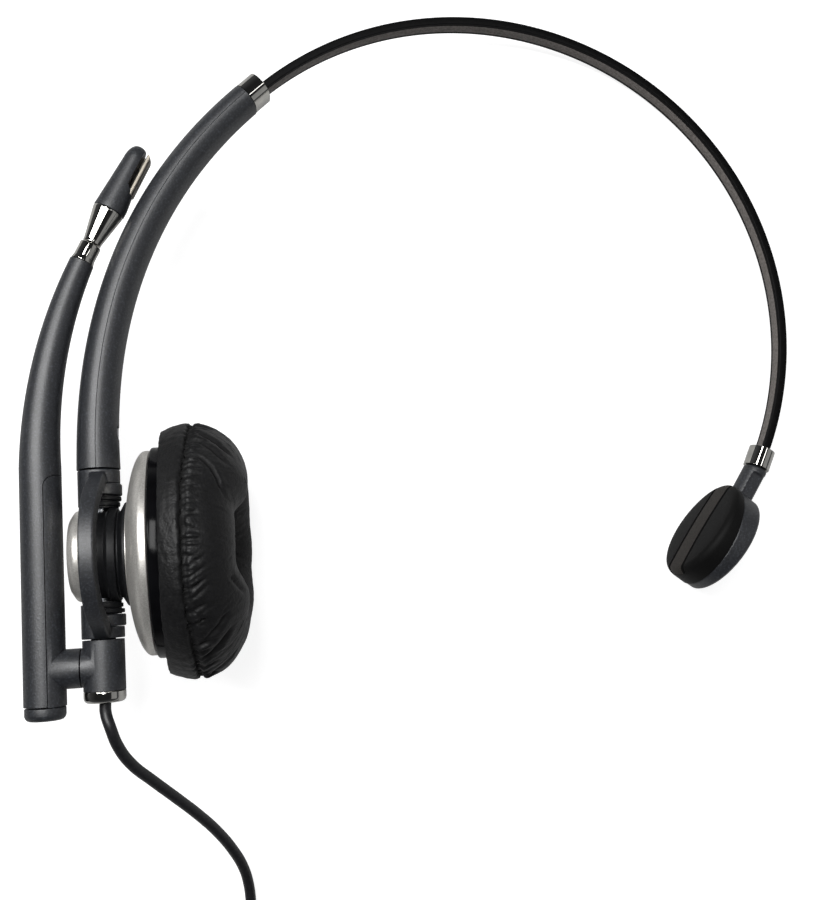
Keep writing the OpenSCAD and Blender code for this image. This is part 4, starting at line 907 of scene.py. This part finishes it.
for knot, place in zip(spline.bezier_points, path):
    knot.co = place * mm
    knot.handle_left_type = knot.handle_right_type = "AUTO"
headsetCord = link(bpy.data.objects.new("headsetCord", curve))
curve.materials.append(finish["cord_vinyl"])
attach(headsetCord, "frame")
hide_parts("cable", "cable_tail", "cable_coil")

# Plug, boot and tie. The boot's ribs repeat along it.
plug = {
    "boot": 9, "thin": 1.9, "thick": 2.7, "ribs": 6, "rib": 0.3, "jack": 1.75, "rings": (29.56, 32.36, 35.16),
    "ringDepth": 0.38, "ringWidth": 0.8,
    "pinFoot": [(0, 25.08), (2.35, 25.08, 0.15), (2.35, 25.88, 0.15), (1.75, 25.88)],
    "pinTip": [(1.75, 35.88, 0.3), (1.25, 36.48, 0.3), (1.75, 37.48, 0.5), (0.55, 39.08, 0.4), (0, 39.08)],
    "handle": [
        (0, 9.04), (2.9, 9.04, 0.4), (3.5, 10.2, 0.8), (3.5, 14.5, 0.6), (3.3, 14.7, 0.1), (3.3, 15.3, 0.1),
        (3.5, 15.5, 0.6), (3.5, 24.2, 0.8), (2.9, 25.04, 0.3), (0, 25.04),
    ],
}
plugPlace = rowMm @ Matrix.Translation(cord["plug"]) @ axisFrame((0, 0, 0), (1, 0, 0))
tree, field = startTree("bootRibs", {
    "Length": "Float", "Ribs": "Int", "Thin": "Float", "Thick": "Float", "Rib": "Float",
})
bootCore = addNode(tree, "GeometryNodeMeshCone", {
    "Vertices": 48, "Side Segments": 8, "Radius Top": field["Thick"], "Radius Bottom": field["Thin"],
    "Depth": field["Length"],
})
reach = addNode(tree, "ShaderNodeMath", {0: field["Length"], 1: 0.78}, operation="MULTIPLY")
firstSpot = addNode(tree, "ShaderNodeCombineXYZ", {"Z": 1.0})
lastSpot = addNode(tree, "ShaderNodeCombineXYZ", {"Z": reach[0]})
spots = addNode(tree, "GeometryNodeMeshLine", {
    "Count": field["Ribs"], "Start Location": firstSpot[0], "Offset": lastSpot[0],
}, mode="END_POINTS")
spotPlace = addNode(tree, "GeometryNodeInputPosition")[0]
swell = addNode(tree, "ShaderNodeMapRange", {
    "Value": addNode(tree, "ShaderNodeSeparateXYZ", {0: spotPlace})["Z"], "From Min": 0.0,
    "From Max": field["Length"], "To Min": field["Thin"], "To Max": field["Thick"],
})["Result"]
ringLine = addNode(tree, "GeometryNodeCurvePrimitiveCircle", {"Resolution": 48, "Radius": 1.0})
ringSection = addNode(tree, "GeometryNodeCurvePrimitiveCircle", {"Resolution": 12, "Radius": field["Rib"]})
ringMesh = addNode(tree, "GeometryNodeCurveToMesh", {
    "Curve": ringLine[0], "Profile Curve": ringSection[0],
})
ringScale = addNode(tree, "ShaderNodeCombineXYZ", {"X": swell, "Y": swell, "Z": 1.0})
copies = addNode(tree, "GeometryNodeInstanceOnPoints", {
    "Points": spots[0], "Instance": ringMesh[0], "Scale": ringScale[0],
})
ribbed = addNode(tree, "GeometryNodeJoinGeometry", {0: [bootCore["Mesh"], copies[0]]})
endTree(tree, ribbed, "black_plastic")
bootMesh = grow(tree, {
    "Length": plug["boot"], "Ribs": plug["ribs"], "Thin": plug["thin"], "Thick": plug["thick"],
    "Rib": plug["rib"],
})
bootMesh.transform(Matrix.Rotation(-pi / 2, 4, "X"))
radius, floor = plug["jack"], plug["jack"] - plug["ringDepth"]
pinProfile, pinRings = list(plug["pinFoot"]), []
for low in plug["rings"]:
    high = low + plug["ringWidth"]
    pinProfile += [(radius, low), (floor, low), (floor, high), (radius, high)]
    ring = rectangle(floor + 0.02, radius - 0.01, low + 0.03, high - 0.03, (0, 0.05, 0.05, 0))
    pinRings.append(lathe(ring, 64))
pinProfile += plug["pinTip"]
tie = {"at": 108, "inner": 8.75, "outer": 19.75, "foot": 0.02, "roof": 8.7, "wall": 0.6, "span": 22}
inner, outer, foot, roof, wall = tie["inner"], tie["outer"], tie["foot"], tie["roof"], tie["wall"]
strap = rectangle(inner - wall, outer + wall, foot, roof + wall, (1.2, 1.2, 1.8, 1.8))
strapHole = rectangle(inner, outer, foot + wall, roof, (0.8, 0.8, 1.4, 1.4))
strap = combine(
    lathe(strap, 200, tie["at"], tie["span"]), lathe(strapHole, 200, tie["at"], tie["span"] + 8))
standUp = Matrix(((1, 0, 0, 0), (0, 0, 1, 0), (0, 1, 0, 0), (0, 0, 0, 1)))
tiePlace = rowMm @ Matrix.Translation((*cord["centre"], 0)) @ standUp
cordPieces = [
    addPiece("plugBoot", bootMesh, plugPlace, "frame", "black_plastic"),
    addPiece("plugHandle", lathe(plug["handle"], 72), plugPlace, "frame", "black_plastic"),
    addPiece("jackPin", lathe(pinProfile, 64), plugPlace, "frame", "chrome", 0, 30),
    addPiece("jackRings", gather(pinRings), plugPlace, "frame", "black_plastic"),
    addPiece("coilTie", strap, tiePlace, "frame", "soft_touch_plastic", 0.15),
]
print("cord done, points:", len(path))


# Ear cushion: a leatherette ring with a smooth skirt, a drawn-in seam and a soft front roll.
# Rows run u = 0..1 over the skirt, 1..2 up the roll, 2..3 into the hollow, then under and back.
# Angles are in degrees, 0 at the side that faces up in the picture and 90 at the arm's side.
# Each fold is a line of (angle, angle up the roll), a width and a depth. Slack and welts are rows of
# (height, place, width), and the sizes of puckers and lines are drawn between two limits.
cushion = {
    "back": 14.6, "backRadius": 27.2, "tuck": 0.9, "seamRadius": 28.8, "seam": 21.2, "crest": 16.6,
    "hollow": 10, "lobe": 12.2, "floor": 16.35, "under": 26.1, "dent": 3.4, "gather": 0.96, "cap": 0.7,
    "pressure": 6.0, "frames": 18, "seed": 7, "groove": 1.15, "rollAngle": 0.213, "rollRadius": 27,
    "rest": 0.02, "dentSpan": (20, 24, 10, 34), "seamDip": (1.5, 12, 60), "seamRagged": 0.5, "crestOut": 1.6,
    "slack": [(2.2, -78, 38), (1.0, 72, 32)], "welts": [(0.15, 1.8, 1.0), (0.12, -1.4, 0.9)],
    "puckers": 120, "puckerLength": (2.6, 7.0), "puckerWidth": (0.26, 0.5), "puckerDepth": (0.2, 0.5),
    "lines": 260, "lineStart": (1, 15), "lineLength": (2, 5), "lineWidth": (0.2, 0.35),
    "lineDepth": (0.05, 0.14), "pulled": (-75, -8), "pull": 0.45,
    "folds": [
        ([(42, 0), (41, 13), (36, 27), (28, 43), (21, 62)], 0.5, 0.6),
        ([(62, 3), (55.7, 27), (47.8, 55)], 0.7, 0.55), ([(53.5, 1), (48.5, 24), (39, 48)], 0.6, 0.5),
        ([(-47, 4), (-40, 24), (-31.7, 45.5)], 0.7, 0.55), ([(-56.7, 7), (-50.3, 27), (-41, 47.5)], 0.7, 0.5),
        ([(-17, 60), (-32, 78)], 0.9, 0.4), ([(80, 4), (74, 30), (70, 60)], 0.8, 0.4),
        ([(-78, 4), (-72, 28), (-66, 58)], 0.8, 0.4), ([(120, 3), (112, 40)], 0.8, 0.5),
        ([(150, 3), (158, 45)], 0.8, 0.5), ([(-118, 3), (-110, 42)], 0.8, 0.5),
        ([(-150, 3), (-158, 40)], 0.8, 0.45), ([(178, 4), (172, 38)], 0.8, 0.45),
    ],
}
rng = np.random.default_rng(cushion["seed"])


def ease(x):
    x = np.clip(x, 0, 1)
    return x * x * (3 - 2 * x)


def bell(x):
    return np.exp(-(x ** 2))


def bells(x, rows):
    return sum(height * bell((x - at) / wide) for height, at, wide in rows)


def ripple(theta, along, waves):
    total = 0
    for turnCount, pace, phase, weight in waves:
        total = total + weight * np.cos(np.radians(theta) * turnCount + along * pace + phase)
    return total


softWaves = [
    (int(rng.integers(2, 11)), rng.uniform(-0.5, 0.5), rng.uniform(0, 6.28), rng.uniform(0.015, 0.04))
    for i in range(12)
]
raggedWaves = [
    (int(rng.integers(30, 120)), 0.0, rng.uniform(0, 6.28), rng.uniform(0.04, 0.1)) for i in range(10)
]


def cushionPlaces(us, thetas, lobeShare):
    theta, u = np.meshgrid(thetas, us)
    upEnd, upFade, downEnd, downFade = cushion["dentSpan"]
    near = (1 - ease((theta - upEnd) / upFade)) * (1 - ease((-theta - downEnd) / downFade))
    dip, dipSpan, dipFade = cushion["seamDip"]
    seamAt = cushion["seam"] - dip * (1 - ease((np.abs(theta) - dipSpan) / dipFade))
    seamAt = seamAt + cushion["seamRagged"] * ripple(theta, 0, raggedWaves)
    slack = bells(theta, cushion["slack"])
    high = (cushion["lobe"] - cushion["dent"] * near - slack) * lobeShare + (cushion["seam"] - seamAt)
    crest = cushion["crest"] + cushion["crestOut"] * near
    skirt, under, back = (np.clip(u - start, 0, 1) for start in (0, 4, 5))
    x = cushion["back"] + (seamAt - cushion["back"]) * skirt
    r = cushion["backRadius"] + (cushion["seamRadius"] - cushion["backRadius"]) * (1 - (1 - skirt) ** 2.2)
    a = np.clip(u - 1, 0, 2) * pi / 2
    reach = np.where(a < pi / 2, cushion["seamRadius"] - cushion["tuck"] - crest, crest - cushion["hollow"])
    x = np.where(u > 1, seamAt + high * np.sin(a), x)
    r = np.where(u > 1, crest + reach * np.cos(a), r)
    x = np.where(u > 3, seamAt + (cushion["floor"] - seamAt) * np.clip(u - 3, 0, 1), x)
    r = np.where(u > 4, cushion["hollow"] + (cushion["under"] - cushion["hollow"]) * under, r)
    x = np.where(u > 5, cushion["floor"] + (cushion["back"] - cushion["floor"]) * back, x)
    r = np.where(u > 5, cushion["under"] + (cushion["backRadius"] - 0.4 - cushion["under"]) * back, r)
    turn = np.radians(theta)
    return np.stack([x, r * np.sin(turn), r * np.cos(turn)], axis=-1)


def ringFaces(rows, columns):
    j, i = np.meshgrid(np.arange(rows), np.arange(columns), indexing="ij")
    below, beside = (j + 1) % rows, (i + 1) % columns
    corners = [j * columns + i, below * columns + i, below * columns + beside, j * columns + beside]
    return np.stack(corners, axis=-1).reshape(-1, 4).tolist()


def spread(counts):
    return np.array([k + n / count for k, count in enumerate(counts) for n in range(count)])


# The cloth starts a little slack and is blown up ten times life size, held along the seam and the plate
coarseU, coarseTheta = spread((8, 18, 12, 4, 5, 2)), np.arange(-180, 180, 3.0)
slackPlaces = cushionPlaces(coarseU, coarseTheta, cushion["gather"])
moved = np.zeros_like(slackPlaces)
clothScale = 10 * mm
started = (slackPlaces + rng.normal(0, 0.05, slackPlaces.shape)) * clothScale
mesh = bpy.data.meshes.new("clothWork")
mesh.from_pydata(started.reshape(-1, 3).tolist(), [], ringFaces(len(coarseU), len(coarseTheta)))
cloth = link(bpy.data.objects.new("clothWork", mesh))
held = cloth.vertex_groups.new(name="held")
for j, u in enumerate(coarseU):
    if u < 1.03 or u > 3.4:
        held.add(range(j * len(coarseTheta), (j + 1) * len(coarseTheta)), 1.0, "REPLACE")
sim = cloth.modifiers.new("cloth", "CLOTH")
clothSettings = {
    "quality": 6, "vertex_group_mass": "held", "use_pressure": True, "shrink_min": -0.06,
    "uniform_pressure_force": cushion["pressure"], "bending_stiffness": 0.4, "tension_stiffness": 12,
    "compression_stiffness": 12,
}
for key, value in clothSettings.items():
    setattr(sim.settings, key, value)
sim.settings.effector_weights.gravity = 0
sim.collision_settings.use_self_collision = False
sim.point_cache.frame_end = cushion["frames"]
for number in range(1, cushion["frames"] + 1):
    bpy.context.scene.frame_set(number)
blown = cloth.evaluated_get(bpy.context.evaluated_depsgraph_get()).data
ended = np.empty(len(blown.vertices) * 3)
blown.vertices.foreach_get("co", ended)
moved = ended.reshape(slackPlaces.shape) / clothScale - slackPlaces
bpy.context.scene.frame_set(1)
bpy.data.meshes.remove(mesh)
far = np.linalg.norm(moved, axis=-1, keepdims=True)
print("cloth moved, mm: mean", round(float(far.mean()), 3), "most", round(float(far.max()), 3))
moved = moved * np.minimum(1, cushion["cap"] / np.maximum(far, 1e-6))
fineU, fineTheta = spread((26, 58, 26, 6, 6, 3)), np.arange(-180, 180, 0.8)
theta, u = np.meshgrid(fineTheta, fineU)


# The two neighbours of a place on a closed run, and how far it is from one to the other
def between(at, count):
    low = np.floor(at).astype(int)
    return low % count, (low + 1) % count, (at - low)[..., None]


i0, i1, beside = between((theta + 180) / 3, len(coarseTheta))
row = np.interp(u, np.append(coarseU, 6), np.arange(len(coarseU) + 1))
j0, j1, below = between(row, len(coarseU))
upper = moved[j0, i0] * (1 - beside) + moved[j0, i1] * beside
lower = moved[j1, i0] * (1 - beside) + moved[j1, i1] * beside
places = cushionPlaces(fineU, fineTheta, 0.5 * (1 + cushion["gather"]))
places = places + upper * (1 - below) + lower * below

# Folds, gathers and the seam's groove, cut into the skin along its normal
steps = np.linalg.norm(np.diff(places, axis=0), axis=-1)
lengths = np.vstack([np.zeros(len(fineTheta)), np.cumsum(steps, axis=0)])
fromSeam = lengths - lengths[int(np.argmin(np.abs(fineU - 1)))]
rollAngle = (u - 1) * 90
ragged = ripple(theta, 0, raggedWaves)
lift = ripple(theta, fromSeam, softWaves) * ease((fromSeam - 0.5) / 3) * (u < 2.8)
lift -= cushion["groove"] * bell((fromSeam + 0.8 * ragged) / (0.6 + 0.5 * ragged))
lift += bells(fromSeam, cushion["welts"])
perDegree = radians(1) * cushion["rollRadius"]


def around(at):
    return ((theta - at + 180) % 360 - 180) * perDegree


# How far a crease leans: those on the pulled side lean one way
def slant(at, pulledSpread, freeSpread):
    low, high = cushion["pulled"]
    return rng.normal(cushion["pull"], pulledSpread) if low < at < high else rng.normal(0, freeSpread)


# A crease across x, with the skin pushed up beside it
def pucker(x, width, ridge):
    return bell(x / width) - ridge * bell((np.abs(x) - 2 * width) / width)


for points, width, depth in cushion["folds"]:
    nearest = np.full(theta.shape, 1e9)
    progress = np.zeros(theta.shape)
    for k, ((ta, aa), (tb, ab)) in enumerate(zip(points, points[1:])):
        px, py = around(ta), (rollAngle - aa) * cushion["rollAngle"]
        dx, dy = (tb - ta) * perDegree, (ab - aa) * cushion["rollAngle"]
        share = np.clip((px * dx + py * dy) / (dx * dx + dy * dy), 0, 1)
        away = np.hypot(px - share * dx, py - share * dy)
        progress = np.where(away < nearest, (k + share) / (len(points) - 1), progress)
        nearest = np.minimum(nearest, away)
    fade = ease(progress / 0.12 + 0.35) * ease((1 - progress) / 0.35) * (fromSeam > 0.2) * (u < 2.7)
    lift -= fade * depth * (bell(nearest / width) - 0.16 * bell((nearest - 2.1 * width) / (1.1 * width)))
for k in range(cushion["puckers"]):
    at = -180 + 360 * (k + rng.uniform(0.1, 0.9)) / cushion["puckers"]
    length = rng.uniform(*cushion["puckerLength"])
    width, depth = rng.uniform(*cushion["puckerWidth"]), rng.uniform(*cushion["puckerDepth"])
    aside = around(at) - slant(at, 0.15, 0.12) * fromSeam
    fade = ease(fromSeam / 0.5) * ease((length - fromSeam) / (0.6 * length))
    lift -= depth * fade * pucker(aside, width, 0.5)
    lift -= 0.4 * depth * ease(-fromSeam / 0.3) * ease((1.3 + fromSeam) / 1.3) * bell(aside / width)
for k in range(cushion["lines"]):
    at, begin = rng.uniform(-180, 180), rng.uniform(*cushion["lineStart"])
    length, width = rng.uniform(*cushion["lineLength"]), rng.uniform(*cushion["lineWidth"])
    depth = rng.uniform(*cushion["lineDepth"])
    aside = around(at) - slant(at, 0.25, 0.25) * (fromSeam - begin)
    fade = ease((fromSeam - begin) / (0.3 * length)) * ease((begin + length - fromSeam) / (0.3 * length))
    lift -= depth * fade * pucker(aside, width, 0.4)
alongRow = np.roll(places, -1, axis=1) - np.roll(places, 1, axis=1)
downRow = np.roll(places, -1, axis=0) - np.roll(places, 1, axis=0)
normal = np.cross(downRow, alongRow)
normal /= np.maximum(np.linalg.norm(normal, axis=-1, keepdims=True), 1e-9)
middle = [np.full(theta.shape, 21.0), 20 * np.sin(np.radians(theta)), 20 * np.cos(np.radians(theta))]
if np.sum(normal * (places - np.stack(middle, axis=-1))) < 0:
    normal = -normal
lift *= (u > 0.15) * (u < 3.2)
places = places + normal * lift[..., None]
skin = bmesh.new()
verts = [skin.verts.new(place) for place in places.reshape(-1, 3).tolist()]
for corners in ringFaces(len(fineU), len(fineTheta)):
    skin.faces.new([verts[k] for k in corners])
lowest = cushion["rest"] * mm  # where it rests on the table
for vert in skin.verts:
    at = hub @ vert.co
    if at.z < lowest:
        vert.co = hub.inverted() @ Vector((at.x, at.y, lowest))
earCushion = addPiece("earCushion", skin, hub, "earcup", "leatherette", 0, 180)
# Painted shade for the leatherette: darkest where the skin is pushed in deepest, in the seam's groove and the
# folds
paintedFoldShade = np.clip((-lift - 0.12) / 0.55, 0, 1)
crease = earCushion.data.attributes.new("crease", "FLOAT", "POINT")
crease.data.foreach_set("value", paintedFoldShade.reshape(-1).astype(np.float32))
print("cushion done")


# Pieces kept from the CAD, each in its own finish
kept = {
    "black_plastic": ["arm_plug", "band_guide", "driver_basket", "driver_grille", "cushion_plate"],
    "steel": [
        "arm_screw", "brake_spring", "swivel_pins", "driver_magnet", "dish_screws", "boom_pivot_pin",
        "pivot_clip", "end_cap_screw", "band_stop", "mic_capsule",
    ],
    "cone_film": ["driver_cone"],
}
for slotName, names in kept.items():
    for name in names:
        obj = frame["nodes"][name]
        obj.data.materials.clear()
        obj.data.materials.append(finish[slotName])

# Floor: pale paper that shows white to the camera, a little less so near the object, where its shadow falls
stage = {"reach": 4, "level": -0.0003, "mirrored": 0.14, "near": 0.88, "nearEnds": 0.2, "farStarts": 0.7}
paper, tree, spot = startMaterial("paperFloor")
ways = addNode(tree, "ShaderNodeLightPath")
mirrored = addNode(tree, "ShaderNodeMath", {
    0: ways["Is Glossy Ray"], 1: ways["Is Transmission Ray"],
}, operation="MAXIMUM")
faint = addNode(tree, "ShaderNodeMath", {0: mirrored[0], 1: stage["mirrored"]}, operation="MULTIPLY")
away = addNode(tree, "ShaderNodeVectorMath", {0: spot}, operation="LENGTH")["Value"]
white = addNode(tree, "ShaderNodeMapRange", {
    "Value": away, "From Min": stage["nearEnds"], "From Max": stage["farStarts"], "To Min": stage["near"],
})
glow = addNode(tree, "ShaderNodeMath", {
    0: ways["Is Camera Ray"], 1: white["Result"], 2: faint[0],
}, operation="MULTIPLY_ADD")
sheet = addNode(tree, "ShaderNodeBsdfDiffuse", {"Color": toLinear("#a8a8a8")})
light = addNode(tree, "ShaderNodeEmission", {"Color": (1, 1, 1, 1), "Strength": glow[0]})
both = addNode(tree, "ShaderNodeAddShader", {0: sheet[0], 1: light[0]})
addNode(tree, "ShaderNodeOutputMaterial", {"Surface": both[0]})
floorMesh = bpy.data.meshes.new("floor")
reach = stage["reach"]
corners = [(x, y, stage["level"]) for x, y in rectangle(-reach, reach, -reach, reach)]
floorMesh.from_pydata(corners, [], [(0, 1, 2, 3)])
floorMesh.materials.append(paper)
link(bpy.data.objects.new("floor", floorMesh))

# A white room for the camera, and a dim one for the object, lightest at the horizon
studio = {"color": "#c9cbd0", "horizon": 0.16, "zenith": 0.04, "fadeEnds": 0.8}
world = bpy.data.worlds.new("studio")
bpy.context.scene.world = world
world.use_nodes = True
tree = world.node_tree
tree.nodes.clear()
ways = addNode(tree, "ShaderNodeLightPath")
plain = addNode(tree, "ShaderNodeBackground", {"Color": (1, 1, 1, 1), "Strength": 1.0})
way = addNode(tree, "ShaderNodeTexCoord")["Generated"]
height = addNode(tree, "ShaderNodeSeparateXYZ", {0: way})["Z"]
dusk = addNode(tree, "ShaderNodeMapRange", {
    "Value": height, "From Max": studio["fadeEnds"], "To Min": studio["horizon"], "To Max": studio["zenith"],
})
room = addNode(tree, "ShaderNodeBackground", {
    "Color": toLinear(studio["color"]), "Strength": dusk["Result"],
})
mixed = addNode(tree, "ShaderNodeMixShader", {"Fac": ways["Is Camera Ray"], 1: room[0], 2: plain[0]})
addNode(tree, "ShaderNodeOutputWorld", {"Surface": mixed[0]})

# Soft boxes: name, place, target, size and power
lamps = [
    ("keyLeft", (-0.29, 0.17, 0.58), (-0.05, 0, 0.02), (0.12, 0.32), 2.4),
    ("keyRight", (-0.04, 0.17, 0.61), (-0.04, 0, 0.02), (0.12, 0.32), 2.2),
    ("wall", (0.75, -0.05, 0.42), (0, 0, 0.02), (0.9, 0.5), 0.45),
    ("strip", (0.18, 0.05, 0.62), (0, 0, 0.03), (0.04, 0.5), 0.25),
]
for name, place, target, size, power in lamps:
    data = bpy.data.lights.new(name, "AREA")
    data.shape = "RECTANGLE"
    data.size, data.size_y = size
    data.energy = power
    lamp = link(bpy.data.objects.new(name, data))
    toTarget = (Vector(target) - Vector(place)).to_track_quat("-Z", "Y").to_matrix().to_4x4()
    lamp.matrix_world = Matrix.Translation(place) @ toTarget
print("stage done")
